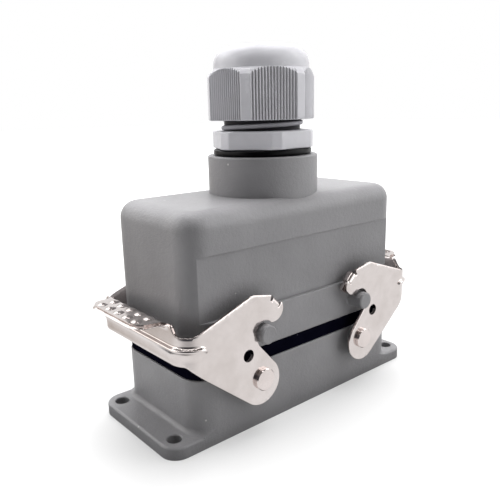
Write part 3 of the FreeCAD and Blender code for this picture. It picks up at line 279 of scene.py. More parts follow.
def platedSteel(name, dark, pale, roughness, bump):
    # Bright plating over pressed steel: mottled warm tone and faint rubbing marks.
    material, tree, shader, place = newMaterial(name, Metallic=1.0)
    blotch = useGroup(tree, drift, place, Size=130.0, First=dark, Second=pale)
    skin = useGroup(tree, grain, place, Fine=900.0, Coarse=120.0, Coarse_Share=0.6).outputs["Height"]
    setSurface(tree, shader, blotch.outputs["Color"], skin, roughness, skin, bump=bump, depth=0.0005)
    return material


def darkRubber(name, dark, pale, roughness, shine):
    # Rubber with a dusty bloom.
    material, tree, shader, place = newMaterial(name, Specular_IOR_Level=shine)
    blotch = useGroup(tree, drift, place, Size=220.0, First=dark, Second=pale)
    skin = useGroup(tree, grain, place, Fine=1800.0, Coarse=500.0, Coarse_Share=0.5).outputs["Height"]
    dust = useGroup(tree, specks, place, Spacing=420.0, Spot=0.09, Share=0.12)
    colour = mixColour(tree, dust.outputs["Mask"], blotch.outputs["Color"], dustPale)
    setSurface(tree, shader, colour, skin, roughness, skin, bump=0.12, depth=0.0003)
    return material


def mouldedInsert():
    # Pale glass-filled plastic of the contact inserts.
    material, tree, shader, place = newMaterial("mouldedInsert")
    dark, pale = (0.50, 0.49, 0.45, 1), (0.58, 0.57, 0.52, 1)
    blotch = useGroup(tree, drift, place, Size=70.0, First=dark, Second=pale)
    skin = useGroup(tree, grain, place, Fine=1700.0, Coarse=600.0, Coarse_Share=0.4).outputs["Height"]
    setSurface(tree, shader, blotch.outputs["Color"], skin, (0.45, 0.6), skin, bump=0.15, depth=0.0003)
    return material


# Each with its dark and pale tones, the ends of its roughness and, where it has one, its bump or shine.
finishes = {
    "casting_grey": paintedCasting(),
    "gland_plastic": glossyNylon(
        "glandNylon", (0.57, 0.565, 0.60, 1), (0.64, 0.635, 0.67, 1), (0.2, 0.28)),
    "claw_plastic": glossyNylon(
        "clawNylon", (0.40, 0.40, 0.41, 1), (0.46, 0.46, 0.47, 1), (0.3, 0.4)),
    "lever_metal": platedSteel(
        "leverNickel", (0.64, 0.585, 0.565, 1), (0.73, 0.675, 0.66, 1), (0.12, 0.24), 0.05),
    "pin_metal": platedSteel(
        "pinNickel", (0.68, 0.61, 0.59, 1), (0.76, 0.69, 0.67, 1), (0.14, 0.24), 0.05),
    "screw_metal": platedSteel(
        "screwZinc", (0.52, 0.53, 0.55, 1), (0.66, 0.67, 0.69, 1), (0.25, 0.4), 0.1),
    "plate_metal": platedSteel(
        "plateZinc", (0.55, 0.56, 0.58, 1), (0.68, 0.69, 0.70, 1), (0.3, 0.45), 0.15),
    "contact_metal": platedSteel(
        "contactSilver", (0.62, 0.58, 0.50, 1), (0.74, 0.70, 0.62, 1), (0.2, 0.3), 0.05),
    "seal_dark": darkRubber(
        "navySeal", (0.0022, 0.0022, 0.0060, 1), (0.0036, 0.0036, 0.0090, 1), (0.38, 0.5), 0.0),
    "o_ring_black": darkRubber(
        "blackRing", (0.0016, 0.0016, 0.002, 1), (0.003, 0.003, 0.0036, 1), (0.2, 0.3), 0.1),
    "gland_rubber": darkRubber(
        "sleeveRubber", (0.010, 0.010, 0.011, 1), (0.018, 0.018, 0.019, 1), (0.4, 0.55), 0.4),
    "insert_plastic": mouldedInsert(),
}
# Painted shade: a darker, nearly unglossy copy of the gland's nylon for the thread's faces.
threadNylonPaintedShade = glossyNylon(
    "threadNylonPaintedShade", (0.50, 0.495, 0.53, 1), (0.56, 0.555, 0.59, 1), (0.3, 0.4), 0.05)

for part in frame["record"]["subparts"]:
    node = frame["nodes"][part["node"]]
    node.data.materials.clear()
    node.data.materials.append(finishes[part["material_slot"]])
print("materials on", len(frame["nodes"]), "nodes")


# Levers: one flat blank, bent and pressed as a whole

lever = {
    "sheet": 1.3,
    "armY": 25.75,                 # outer face of an arm
    "bailX": 52.7,                 # outer face of the bail
    "bend": 7.0,
    "pivot": (24.03, 18.0, 2.3),   # X, Z and radius, as in the next eight
    "armHole": (29.8, 27.3, 2.0),
    "lobe": (24.7, 17.0, 7.6),
    "mouth": (22.4, 31.0, 3.35),
    "slot": (23.0, 33.4, 3.35),
    "lip": (20.11, 35.71, 0.3),
    "hook": (19.2, 39.4, 4.05),
    "topEnd": (20.38, 44.11, 0.3),
    "topCorner": (27.5, 45.0, 0.9),
    "bailLow": 29.3,
    "bailHigh": 38.2,
    "lowSweep": (23.1, 2.0),       # along the sheet, where the bail's lower edge turns down, and radius
    "highSweep": (50.0, 3.0),      # X, where its upper edge turns up, and radius
    "fold": {"angle": 43.5, "offset": 1.55, "outer": 1.85, "low": -1.0, "high": 2.45, "notch": 0.8,
             "slit": 0.16, "slitStart": (-2.1, 3.48), "slitEnd": 3.5, "slack": 0.05, "reach": 25},
    "bead": {"low": 31.0, "crest": 34.45, "high": 35.35, "height": 0.95, "start": 28.3, "end": 30.5,
             "sharp": 9},
    "neck": {"half": 19.5, "corner": 1.3, "flare": 3.0, "topZ": 41.2},
    "tab": {"half": 15.4, "corner": 5.5, "topZ": 41.4, "bend": 0.8, "rise": 2.5, "end": 61.35,
            "drawn": (14.9, 18.7), "root": (1.5, 1.0)},
    "dimple": {"rows": (3.05, 7.1), "perRow": 5, "pitch": 5.2, "radius": 1.4, "height": 0.58, "power": 1.4},
    "edge": {"round": 0.3, "rings": (0.25, 0.95), "steepest": 0.97, "bevelShare": 0.5, "bevelAngle": 60},
    "mesh": {"outline": 0.35, "bead": 0.38, "tab": 0.34, "bail": 0.8, "arm": 2.6, "hook": 0.42,
             "rows": 0.87, "crowd": 0.55, "clear": 0.3, "aroundHole": 40, "heights": (8, 60),
             "hookFrom": (22, 40), "pastHook": 4, "pastFine": 3, "pastBead": (0.5, 0.6), "pastTab": 9.5,
             "pastBail": (1, 6)},
}


def tautString(pegs, step):
    # Outline of a string pulled round pegs (u, v, r): arcs of r round the pegs, with straight tangents
    # between them. Left turns have a positive r, right ones a negative r, and 0 is a sharp corner.
    points = []
    headings = []
    for (u0, v0, r0), (u1, v1, r1) in zip(pegs, pegs[1:] + pegs[:1]):
        distance = math.hypot(u1 - u0, v1 - v0)
        swing = max(-1.0, min(1.0, (r1 - r0) / distance))
        headings.append(math.atan2(v1 - v0, u1 - u0) - math.asin(swing))
    for i, (u, v, r) in enumerate(pegs):
        start, end = headings[i - 1], headings[i]
        if r:
            turn = (end - start) % (2 * math.pi) if r > 0 else -((start - end) % (2 * math.pi))
            n = max(2, int(math.ceil(abs(turn * r) / step)) + 1)
            angles = start + turn * np.linspace(0, 1, n)
            points.append(np.stack([u + r * np.sin(angles), v - r * np.cos(angles)], 1))
        else:
            points.append(np.array([[u, v]]))
    corners = np.concatenate(points)
    dense = []
    for a, b in zip(corners, np.roll(corners, -1, 0)):
        n = max(1, int(round(np.linalg.norm(b - a) / (2 * step))))
        dense.append(a + (b - a) * np.linspace(0, 1, n, endpoint=False)[:, None])
    dense = np.concatenate(dense)
    apart = np.linalg.norm(dense - np.roll(dense, 1, 0), axis=1) > mergeGap
    return dense[apart]


def blankSizes(s):
    # Half the blank's length w along the sheet, the heights v in it where the tab's bend starts and the tab
    # ends, and the distance n from the hook's middle at which its fold ends and the second cheek starts.
    fold, tab = s["fold"], s["tab"]
    bendV = tab["topZ"] - tab["bend"] - s["sheet"]
    return {
        "half": s["armY"] - s["bend"] + s["bend"] * math.pi / 2 + s["bailX"] - s["bend"],
        "bendV": bendV,
        "tipV": bendV + tab["bend"] * math.radians(90 - tab["rise"]) + tab["end"] - s["bailX"] - tab["bend"],
        "turnN": fold["offset"] + math.pi * fold["outer"],
    }


def blankPegs(s, blank):
    # Pegs of half the blank, from the bail's lower edge round the arm, the hook and its second cheek to the
    # tab.
    fold, neck, tab = s["fold"], s["neck"], s["tab"]
    turnN = blank["turnN"]
    a = math.radians(fold["angle"])
    along = np.array([-math.cos(a), math.sin(a)])
    out = np.array([math.sin(a), math.cos(a)])

    def onArm(key, turn=1):
        x, z, r = s[key]
        return (blank["half"] - x, z, turn * r)

    hookW, hookV, hookR = onArm("hook")

    def beside(u, n, r=0):
        w, v = np.array([hookW, hookV]) + u * along + n * out
        return (w, v, r)

    cheekU = math.sqrt(hookR ** 2 - fold["offset"] ** 2)
    slitU = fold["low"] - fold["slit"]
    flap = [
        fold["slitStart"],
        (slitU, fold["slitEnd"]),
        (slitU, fold["offset"]),
        (fold["low"], fold["offset"]),
        (fold["low"], turnN),
        (-cheekU, turnN),
        (0, turnN + fold["offset"], hookR),
        (cheekU, turnN),
        (fold["high"], turnN),
        (fold["high"], fold["offset"]),
        (fold["high"] + fold["notch"], fold["offset"]),
    ]
    (lowW, lowR), (highX, highR), (rootW, rootR) = s["lowSweep"], s["highSweep"], tab["root"]
    return [
        (lowW, s["bailLow"] - lowR, -lowR),
        onArm("lobe"),
        onArm("mouth", -1),
        onArm("slot", -1),
        onArm("lip"),
        onArm("hook"),
        *[beside(*peg) for peg in flap],
        onArm("topEnd"),
        onArm("topCorner"),
        (blank["half"] - highX, s["bailHigh"] + highR, -highR),
        (neck["half"] + neck["flare"], s["bailHigh"] + neck["flare"], -neck["flare"]),
        (neck["half"] - neck["corner"], neck["topZ"] - neck["corner"], neck["corner"]),
        (tab["half"] + rootW, neck["topZ"] + rootR, -rootR),
        (tab["half"] - tab["corner"], blank["tipV"] - tab["corner"], tab["corner"]),
    ]


def insideLoop(points, loop):
    # For each point: whether it lies inside the loop, by counting crossings, and its distance from the loop.
    ends = np.roll(loop, -1, 0)
    d = ends - loop
    rise = np.where(d[:, 1] == 0, 1e-12, d[:, 1])
    inside, gaps = [], []
    for i in range(0, len(points), chunkSize):
        chunk = points[i:i + chunkSize, None]
        t = np.clip(((chunk - loop) * d).sum(2) / (d * d).sum(1), 0, 1)
        gaps.append(np.linalg.norm(chunk - (loop + t[..., None] * d), axis=2).min(1))
        spans = (loop[:, 1] > chunk[..., 1]) != (ends[:, 1] > chunk[..., 1])
        crossing = loop[:, 0] + (chunk[..., 1] - loop[:, 1]) / rise * d[:, 0]
        inside.append((spans & (chunk[..., 0] < crossing)).sum(1) % 2 == 1)
    return np.concatenate(inside), np.concatenate(gaps)


def leverGrid(outline, s, blank):
    # Points inside the outline on triangular lattices: (w0 + i h, v0 + 0.87 j h), each second row half a step
    # on. They are close together where the sheet is bent or pressed and wide apart on the flat arms, and none
    # is near a point of an earlier lattice.
    flatW, tab, bead, mesh = blank["half"], s["tab"], s["bead"], s["mesh"]
    bendW = flatW - s["bailX"] + s["bend"]
    (lowest, highest), (hookW, hookV) = mesh["heights"], mesh["hookFrom"]
    fine, (below, above), (aside, beyond) = mesh["pastFine"], mesh["pastBead"], mesh["pastBail"]

    def lattice(w0, w1, v0, v1, step):
        w, v = np.meshgrid(np.arange(w0, w1, step), np.arange(v0, v1, step * mesh["rows"]))
        w[1::2] += step / 2
        return np.stack([w.ravel(), v.ravel()], 1)

    tabW, tabV = tab["half"] + fine, tab["topZ"] + mesh["pastTab"]
    hook = lattice(bendW + hookW, flatW + mesh["pastHook"], hookV, highest, mesh["hook"])
    points = np.concatenate([
        lattice(-bendW - fine, bendW + fine, bead["low"] - below, bead["high"] + above, mesh["bead"]),
        lattice(-tabW, tabW, s["bailHigh"], tabV, mesh["tab"]),
    ])
    for extra in (
        lattice(-bendW - aside, bendW + aside, s["bailLow"] - beyond, s["bailHigh"] + beyond, mesh["bail"]),
        lattice(-flatW, flatW, lowest, highest, mesh["arm"]),
        hook,
        hook * (-1, 1),
    ):
        step = np.linalg.norm(extra[0] - extra[1])
        gaps = [np.linalg.norm(extra[i:i + chunkSize, None] - points[None], axis=2).min(1)
                for i in range(0, len(extra), chunkSize)]
        points = np.concatenate([points, extra[np.concatenate(gaps) > mesh["crowd"] * step]])
    inside, gap = insideLoop(points, outline)
    return points[inside & (gap > mesh["clear"])]


def beadLift(w, v, bead):
    # Height of the bead: below its crest h (1 / (1 + k t^2) - e) / (1 - e), with e = 1 / (1 + k), and above
    # it h (1 - a smooth step of t), with t from 0 at the crest to 1 at its foot. Its ends narrow as an
    # ellipse.
    reach = np.clip((w - bead["start"]) / (bead["end"] - bead["start"]), 0, 1)
    shrink = np.sqrt(1 - reach ** 2)
    middle = (bead["low"] + bead["high"]) / 2
    spread = middle + (v - middle) / np.maximum(shrink, 1e-3)
    below = np.clip((bead["crest"] - spread) / (bead["crest"] - bead["low"]), 0, 1)
    above = np.clip((spread - bead["crest"]) / (bead["high"] - bead["crest"]), 0, 1)
    foot = 1 / (1 + bead["sharp"])
    slope = (1 / (1 + bead["sharp"] * below ** 2) - foot) / (1 - foot)
    swell = np.where(spread < bead["crest"], slope, 1 - smoothStep(above))
    return bead["height"] * swell * np.sqrt(shrink)


def dimplePress(w, v, dimple, tipV):
    # Height of the dimples: h (1 - (d / r)^2)^p round the middle of each.
    press = np.zeros_like(w)
    for row in dimple["rows"]:
        for k in range(dimple["perRow"]):
            across = (k - (dimple["perRow"] - 1) / 2) * dimple["pitch"]
            d = np.hypot(w - across, v - (tipV - row)) / dimple["radius"]
            press += dimple["height"] * np.clip(1 - d ** 2, 0, 1) ** dimple["power"]
    return press


def bendBlank(wv, s, blank):
    # Flat (w, v) to the folded sheet: along the bail, round both bends, over the tab and round the hook's
    # fold. Beside the tab the sheet is drawn: it goes over from bent to upright by a smooth step.
    w, v = np.abs(wv[:, 0]), wv[:, 1]
    sign = np.where(wv[:, 0] < 0, -1.0, 1.0)
    fold, tab = s["fold"], s["tab"]
    bail = s["armY"] - s["bend"]
    arm = bail + s["bend"] * math.pi / 2

    lift = beadLift(w, v, s["bead"])
    phi = np.clip((w - bail) / s["bend"], 0, math.pi / 2)
    radius = s["bend"] + lift
    x = s["bailX"] - s["bend"] + radius * np.cos(phi) - np.clip(w - arm, 0, None)
    y = bail + radius * np.sin(phi)
    x = np.where(w < bail, s["bailX"] + lift, x)
    y = np.where(w < bail, w, y)

    rise = math.radians(tab["rise"])
    full = math.radians(90 - tab["rise"])
    inner, outer = tab["drawn"]
    bendV = blank["bendV"]
    bent = smoothStep((outer - w) / (outer - inner)) * (v > bendV)
    turn = np.clip((v - bendV) / tab["bend"], 0, full)
    out = np.clip(v - bendV - tab["bend"] * full, 0, None)
    press = dimplePress(wv[:, 0], v, s["dimple"], blank["tipV"])
    tabX = s["bailX"] + tab["bend"] - tab["bend"] * np.cos(turn)
    tabX = tabX + out * math.cos(rise) - press * math.sin(rise)
    tabZ = bendV + tab["bend"] * np.sin(turn) + out * math.sin(rise) + press * math.cos(rise)
    x = x + bent * (tabX - x)
    z = v + bent * (tabZ - v)

    a = math.radians(fold["angle"])
    turnN, slack = blank["turnN"], fold["slack"]
    hookW, hookV = blank["half"] - s["hook"][0], s["hook"][1]
    n = (w - hookW) * math.sin(a) + (v - hookV) * math.cos(a)
    u = -(w - hookW) * math.cos(a) + (v - hookV) * math.sin(a)
    between = (u > fold["low"] - slack) & (u < fold["high"] + slack)
    onFlap = (n > fold["offset"]) & (between | (n > turnN - slack))
    curl = np.clip((n - fold["offset"]) / fold["outer"], 0, math.pi)
    foldN = fold["offset"] + fold["outer"] * np.sin(curl) - np.clip(n - turnN, 0, None)
    foldY = s["armY"] - fold["outer"] + fold["outer"] * np.cos(curl)
    foldW = hookW + foldN * math.sin(a) - u * math.cos(a)
    x = np.where(onFlap, blank["half"] - foldW, x)
    y = np.where(onFlap, foldY, y)
    z = np.where(onFlap, hookV + foldN * math.cos(a) + u * math.sin(a), z)
    return np.stack([x, sign * y, z], 1)


def insetLoop(loop, depth):
    # The loop's points moved inward by the depth, square to the line through their neighbours, and left out
    # where the new loop would fold over itself, so that they come closer to the old one than nearly the
    # depth.
    along = np.roll(loop, -1, 0) - np.roll(loop, 1, 0)
    along /= np.linalg.norm(along, axis=1)[:, None]
    moved = loop + depth * np.stack([-along[:, 1], along[:, 0]], 1)
    inside, gap = insideLoop(moved, loop)
    nearly = 0.9
    return moved[inside & (gap > nearly * depth)]


def rollEdge(points, faces, gap, edge):
    # Die roll of a punched sheet: within r of the edge the face sinks by r (1 - sqrt(1 - t^2)), where
    # t = 1 - gap / r.
    a, b, c = (points[faces[:, i]] for i in range(3))
    across = np.cross(b - a, c - a)
    normals = np.zeros_like(points)
    for i in range(3):
        np.add.at(normals, faces[:, i], across)
    normals /= np.maximum(np.linalg.norm(normals, axis=1), 1e-9)[:, None]
    t = np.clip(1 - gap / edge["round"], 0, edge["steepest"])
    return points - normals * (edge["round"] * (1 - np.sqrt(1 - t ** 2)))[:, None]


def makeLever(name, side):
    # The blank cut into triangles between its outline, its four holes and the points inside, then bent,
    # rolled at its edges but for the folded cheek, mirrored for the left side and thickened inward.
    s = lever
    edge, fold, mesh = s["edge"], s["fold"], s["mesh"]
    blank = blankSizes(s)
    half = blankPegs(s, blank)
    outline = tautString(half + [(-w, v, r) for w, v, r in reversed(half)], mesh["outline"])
    inside = [leverGrid(outline, s, blank)]
    inside = np.concatenate(inside + [insetLoop(outline, share * edge["round"]) for share in edge["rings"]])
    a = np.linspace(0, 2 * math.pi, mesh["aroundHole"], endpoint=False)
    ring = np.stack([np.cos(a), np.sin(a)], 1)
    holes = [(np.array([sign * (blank["half"] - x), z]), r)
             for x, z, r in (s["pivot"], s["armHole"]) for sign in (-1, 1)]
    for centre, r in holes:
        inside = inside[np.linalg.norm(inside - centre, axis=1) > r + mesh["clear"]]
    loops = [outline] + [centre + r * ring for centre, r in holes]
    edges = []
    start = 0
    for loop in loops:
        edges += [(start + i, start + (i + 1) % len(loop)) for i in range(len(loop))]
        start += len(loop)
    flat = np.concatenate(loops + [inside])
    flat = [Vector(point) for point in flat]
    verts, _, faces, *_ = delaunay_2d_cdt(flat, edges, [], trianglesInside, cutAccuracy, False)
    wv, faces = np.array(verts), np.array(faces)
    middle = wv[faces].mean(1)
    keep, _ = insideLoop(middle, outline)
    for centre, r in holes:
        keep &= np.linalg.norm(middle - centre, axis=1) > r
    faces = faces[keep]
    points = bendBlank(wv, s, blank)
    folded = (points[:, 0] < fold["reach"]) & (np.abs(points[:, 1]) < s["armY"] - fold["slack"])
    gap = np.where(folded, np.inf, insideLoop(wv, outline)[1])
    points = rollEdge(points, faces, gap, edge)
    if side < 0:
        points[:, 0] *= -1
        faces = faces[:, ::-1]
    piece = makeMesh(name, points, faces)
    thick = piece.modifiers.new("sheetThickness", "SOLIDIFY")
    thick.thickness = s["sheet"] * mm
    thick.offset = -1
    rounded = piece.modifiers.new("rolledEdge", "BEVEL")
    rounded.width = edge["round"] * edge["bevelShare"] * mm
    rounded.segments = 2
    rounded.limit_method = "ANGLE"
    rounded.angle_limit = math.radians(edge["bevelAngle"])
    rounded.harden_normals = True
    return piece


for name, side in (("lever_left", -1), ("lever_right", 1)):
    piece = makeLever(name + "_sheet", side)
    dress(piece, name, finishes["lever_metal"], "lever_metal", name)
print("levers")


# Cable gland

glandNut = {
    "acrossFlats": 32.8,
    "land": 1.55,
    "turn": math.radians(32.4),
    "low": 96.0,
    "hexTop": 112.1,
    "top": 119.6,
    "scallop": 1.9,
    "ribs": 15,
    "ribDepth": 0.55,
    # painted shade at the bottom of a rib groove
    "ribPower": 1.6,
    "grooveShade": 0.6,
    "ribSamples": 8,
    "landSamples": 14,
    "gripRows": {"shares": (0.05, 0.3, 0.6, 0.9), "short": 0.7},
    "footInset": 0.35,
    "footRound": [(0.08, 0.06), (0.02, 0.3)],                # in from the grip, up from the foot
    "topRound": [(0, -0.28), (0.05, -0.10), (0.18, 0.05)],   # in from the grip, up from its top
    "valley": 0.5,                                           # share of a rib's depth at the foot
    "shade": {"power": 1.5, "above": 0.1, "below": 0.15},
    "dome": 15.95,
    "domeRound": 6.3,
    "domeRows": (0, 88, 18),                                 # first and last angle, and how many
    "domeFoot": [(0.22, 0), (0.06, 0.06), (0, 0.25)],        # out from the dome, up from the hexagon's top
    "ledge": {"inset": 0.45, "slope": 0.45, "lift": 0.25, "below": 0.03},
    "hole": 9.3,
    "mouth": [(0.35, 0), (0.1, -0.1), (0, -0.35), (0, -2.3), (0.1, -2.5)],    # out from the hole, up
    "ceiling": [(12.5, 0.5), (12.7, 0.2)],                   # radius, up from the bore's top
    "bore": 13.85,
    "boreTop": 109.5,
    "chamfer": 0.4,
}


def makeNut():
    # Half section carried round the axis; the grip's radius is the hexagon's less depth (1 - |cos(pi t)|^p),
    # with t counting the ribs, and its top falls from the flats to the lands in scallops.
    s = glandNut
    low, hexTop, top, dome, hole, bore = (s[key] for key in ("low", "hexTop", "top", "dome", "hole", "bore"))
    sixth = math.pi / 3
    apothem = s["acrossFlats"] / 2
    corner = apothem / math.cos(math.pi / 6)
    flatHalf = corner / 2 - 2 * (corner - apothem - s["land"])
    flatAngle = math.atan2(flatHalf, apothem)
    t = np.arange(s["ribs"] * s["ribSamples"]) / s["ribSamples"]
    onFlat = np.arctan2((t / s["ribs"] * 2 - 1) * flatHalf, apothem)
    groove = 1 - np.abs(np.cos(math.pi * t)) ** s["ribPower"]
    onLand = np.linspace(flatAngle, sixth - flatAngle, s["landSamples"], endpoint=False)
    angles = np.concatenate([onFlat, onLand])
    angles = np.concatenate([angles + s["turn"] + sixth / 2 + k * sixth for k in range(6)])
    depth = np.tile(np.concatenate([s["ribDepth"] * groove, np.zeros(len(onLand))]), 6)
    outer = hexRadius(angles, s)
    grip = outer - depth
    gripTop = hexTop - np.clip(grip - apothem, 0, None) * (s["scallop"] / s["land"])

    (skin, rise), (edge, footTop) = s["footRound"]
    ledge, shares, short = s["ledge"], s["gripRows"]["shares"], s["gripRows"]["short"]
    shoulder = dome + s["domeFoot"][0][0]
    inward = gripTop + (grip - ledge["inset"] - shoulder) * ledge["slope"] + ledge["lift"]
    inward = np.minimum(np.minimum(hexTop, inward), hexTop - ledge["below"])
    a = np.radians(np.linspace(*s["domeRows"]))
    arcR = dome - s["domeRound"] + s["domeRound"] * np.cos(a)
    arcZ = top - s["domeRound"] + s["domeRound"] * np.sin(a)
    rows = [
        (bore + s["chamfer"], low),
        (outer - s["ribDepth"] - s["footInset"], low),
        (np.minimum(grip, outer - s["ribDepth"] * s["valley"]) - skin, low + rise),
        (grip - edge, low + footTop),
        *[(grip, low + footTop + share * (gripTop - low - short)) for share in shares],
        *[(grip - inset, gripTop + up) for inset, up in s["topRound"]],
        (np.maximum(grip - ledge["inset"], shoulder), inward),
        *[(dome + out, hexTop + up) for out, up in s["domeFoot"]],
        *zip(arcR, arcZ),
        *[(hole + out, top + up) for out, up in s["mouth"]],
        *[(r, s["boreTop"] + up) for r, up in s["ceiling"]],
        (bore, s["boreTop"]),
        (bore, low + s["chamfer"]),
    ]
    piece, radii, heights = turnedPiece("gland_dome_nut", rows, angles)
    # Painted shade: on the grip's height the rib grooves darken with their depth, and the bore inside darkens
    # as much as the deepest groove.
    shade = s["shade"]
    sunk = np.clip((outer - radii) / s["ribDepth"], 0, 1) ** shade["power"]
    onGrip = (heights > low + shade["above"]) & (heights < gripTop - shade["below"])
    addShade(piece, s["grooveShade"] * sunk * onGrip)
    return piece


gland = {
    "entry": 12.45,
    "entryLow": 74.6,
    "entryChamfer": 0.5,
    "hexLow": 86.8,
    "hexHigh": 92.6,
    "acrossFlats": 31.6,
    "land": 1.4,
    "turn": math.radians(3.6),
    "hexEdge": [(0.6, 0), (0.1225, 0.105), (0.02, 0.315), (0, 0.56)],    # in and up from each edge
    "samples": 252,
    "crest": 13.8,
    "root": 12.85,
    "pitch": 3.0,
    "startZ": 90.88,
    "ridge": (0.30, 0.14),         # half width at its foot and width of each flank, as shares of the pitch
    "runOut": (0.6, 1.5),          # plain end and fading length at the thread's top
    "threadRows": (0.1, 0.3, 0.2),    # first above the hexagon, last below the top, and step
    "threadTop": 106.0,
    "threadFoot": 0.25,
    "threadEnd": (0.2, 0.25),
    # painted shade of the thread's colour:
    "threadShade": (0.97, 0.3),    # at the root and at the crest
    "boreWide": 12.3,
    "bore": 9.6,
    "boreChamfer": 0.3,
    "fillet": 0.1,
    "inside": 0.05,
}


def makeGlandBody():
    # Half section carried round the axis; the thread's radius is root + (crest - root) times a smooth ridge
    # of the phase z / pitch - a / 2 pi. Gives the piece, and 1 for each face above the hexagon.
    s = gland
    entryLow, hexLow, hexHigh, threadTop = (s[key] for key in ("entryLow", "hexLow", "hexHigh", "threadTop"))
    entry, root, wide, bore = (s[key] for key in ("entry", "root", "boreWide", "bore"))
    entryCut, boreCut, fillet, small = (s[key] for key in ("entryChamfer", "boreChamfer", "fillet", "inside"))
    (first, last, step), (endIn, endDown) = s["threadRows"], s["threadEnd"]
    angles = np.linspace(0, 2 * math.pi, s["samples"], endpoint=False)
    outer = hexRadius(angles, s)
    threadZ = np.arange(hexHigh + first, threadTop - last, step)[:, None]
    phase = ((threadZ - s["startZ"]) / s["pitch"] - angles / (2 * math.pi)) % 1.0
    foot, flank = s["ridge"]
    plain, fading = s["runOut"]
    ridge = smoothStep((foot - np.abs(phase - 0.5)) / flank)
    ridge = ridge * smoothStep((threadTop - plain - threadZ) / fading)
    rows = [
        (entry - entryCut, entryLow),
        (entry, entryLow + entryCut),
        (entry, hexLow - fillet),
        (entry + fillet, hexLow),
        *[(outer - inset, hexLow + up) for inset, up in s["hexEdge"]],
        *[(outer - inset, hexHigh - down) for inset, down in reversed(s["hexEdge"])],
        (root + s["threadFoot"], hexHigh),
        *zip(root + (s["crest"] - root) * ridge, threadZ),
        (root, threadTop - endDown),
        (root - endIn, threadTop),
        (wide + fillet, threadTop),
        (wide, threadTop - fillet),
        (wide, hexLow + small),
        (wide - small, hexLow),
        (bore + small, hexLow),
        (bore, hexLow - small),
        (bore, entryLow + boreCut),
        (bore + boreCut, entryLow),
    ]
    piece, radii, heights = turnedPiece("gland_body_moulding", rows, angles)
    # Painted shade: above the hexagon the thread darkens toward its root, nearly black there, and the bore
    # with it.
    deep, pale = s["threadShade"]
    sunk = np.clip(deep - (deep - pale) * (radii - root) / (s["crest"] - root), 0, deep)
    addShade(piece, sunk * (heights > hexHigh + small))
    lowest = np.minimum(heights, np.roll(heights, -1, 0))
    return piece, (lowest >= hexHigh).astype(np.int32).ravel()


oRing = {
    "inner": 12.55,
    "outer": 16.9,
    "low": 84.62,
    "high": 86.78,
    "samples": (200, 32),
    "power": 0.62,
    "bulge": [(0.16, 2, 0.6), (0.09, 3, 2.1), (0.05, 7, 0.4)],
    "droop": [(0.10, 1, 2.4), (0.06, 3, 0.9)],
    "droopShare": 0.4,
    "lip": {"depth": 0.12, "at": 0.1, "width": 0.22},
    "flatten": 0.04,
}


def makeORing():
    # Squeezed ring: a super-ellipse section, sign(cos t) |cos t|^p by sign(sin t) |sin t|^p, whose outer edge
    # has a shallow dent and bulges and droops unevenly with the angle.
    s = oRing
    around, section = s["samples"]
    angles = np.linspace(0, 2 * math.pi, around, endpoint=False)
    t = np.linspace(0, 2 * math.pi, section, endpoint=False)[:, None]
    c = np.sign(np.cos(t)) * np.abs(np.cos(t)) ** s["power"]
    q = np.sign(np.sin(t)) * np.abs(np.sin(t)) ** s["power"]
    outward = np.clip(c, 0, None)
    dent = s["lip"]["depth"] * np.exp(-((q - s["lip"]["at"]) / s["lip"]["width"]) ** 2) * outward
    middleR, middleZ = (s["inner"] + s["outer"]) / 2, (s["high"] + s["low"]) / 2
    halfR, halfZ = (s["outer"] - s["inner"]) / 2, (s["high"] - s["low"]) / 2
    r = middleR + halfR * c + wave(angles, s["bulge"]) * outward - dent
    droop = wave(angles, s["droop"]) * outward * s["droopShare"]
    z = np.clip(middleZ + halfZ * q * (1 - s["flatten"] * outward) + droop, s["low"], s["high"])
    return turnedPiece("gland_ring_squeezed", list(zip(r, z)), angles)[0]


dress(makeNut(), "dome_nut", finishes["gland_plastic"], "gland_plastic", "gland_nut")
body, onThread = makeGlandBody()
dress(body, "connector", finishes["gland_plastic"], "gland_plastic", "gland_body")
# The thread's faces above the hexagon take the darker copy of the nylon, painted shade.
body.data.materials.append(threadNylonPaintedShade)
body.data.polygons.foreach_set("material_index", onThread)
dress(makeORing(), "connector", finishes["o_ring_black"], "o_ring_black", "gland_o_ring")
print("cable gland")


# Camera at the photograph's viewpoint

viewpoint = {
    "place": (-131.61, -147.72, 98.70),
    "yaw": -40.24,
    "pitch": 13.65,
    "roll": -1.3,
    "focalPixels": 569.12,
    "imagePixels": 500,
    "sensor": 36.0,
    "nearest": 0.01,
}
facing = math.atan2(viewpoint["place"][1], viewpoint["place"][0])


def addCamera():
    # Camera axes from yaw, pitch down and roll.
    s = viewpoint
    yaw, pitch, roll = (math.radians(s[key]) for key in ("yaw", "pitch", "roll"))
    forward = Vector((-math.sin(yaw) * math.cos(pitch), math.cos(yaw) * math.cos(pitch), -math.sin(pitch)))
    right = Vector((math.cos(yaw), math.sin(yaw), 0))
    up = right.cross(forward)
    across = right * math.cos(roll) + up * math.sin(roll)
    upright = up * math.cos(roll) - right * math.sin(roll)
    data = bpy.data.cameras.new("viewCamera")
    data.sensor_width = s["sensor"]
    data.lens = s["focalPixels"] * s["sensor"] / s["imagePixels"]
    data.clip_start = s["nearest"]
    camera = bpy.data.objects.new("viewCamera", data)
    camera.matrix_world = Matrix((
        (across.x, upright.x, -forward.x, s["place"][0] * mm),
        (across.y, upright.y, -forward.y, s["place"][1] * mm),
        (across.z, upright.z, -forward.z, s["place"][2] * mm),
        (0, 0, 0, 1)))
    bpy.context.scene.collection.objects.link(camera)
    bpy.context.scene.camera = camera


# Studio: two side boxes and one overhead, a white background, a pale floor, and a room that only metal and
# gloss see, with a grey and a dark side, a dark ceiling, a box at the back and two tubes

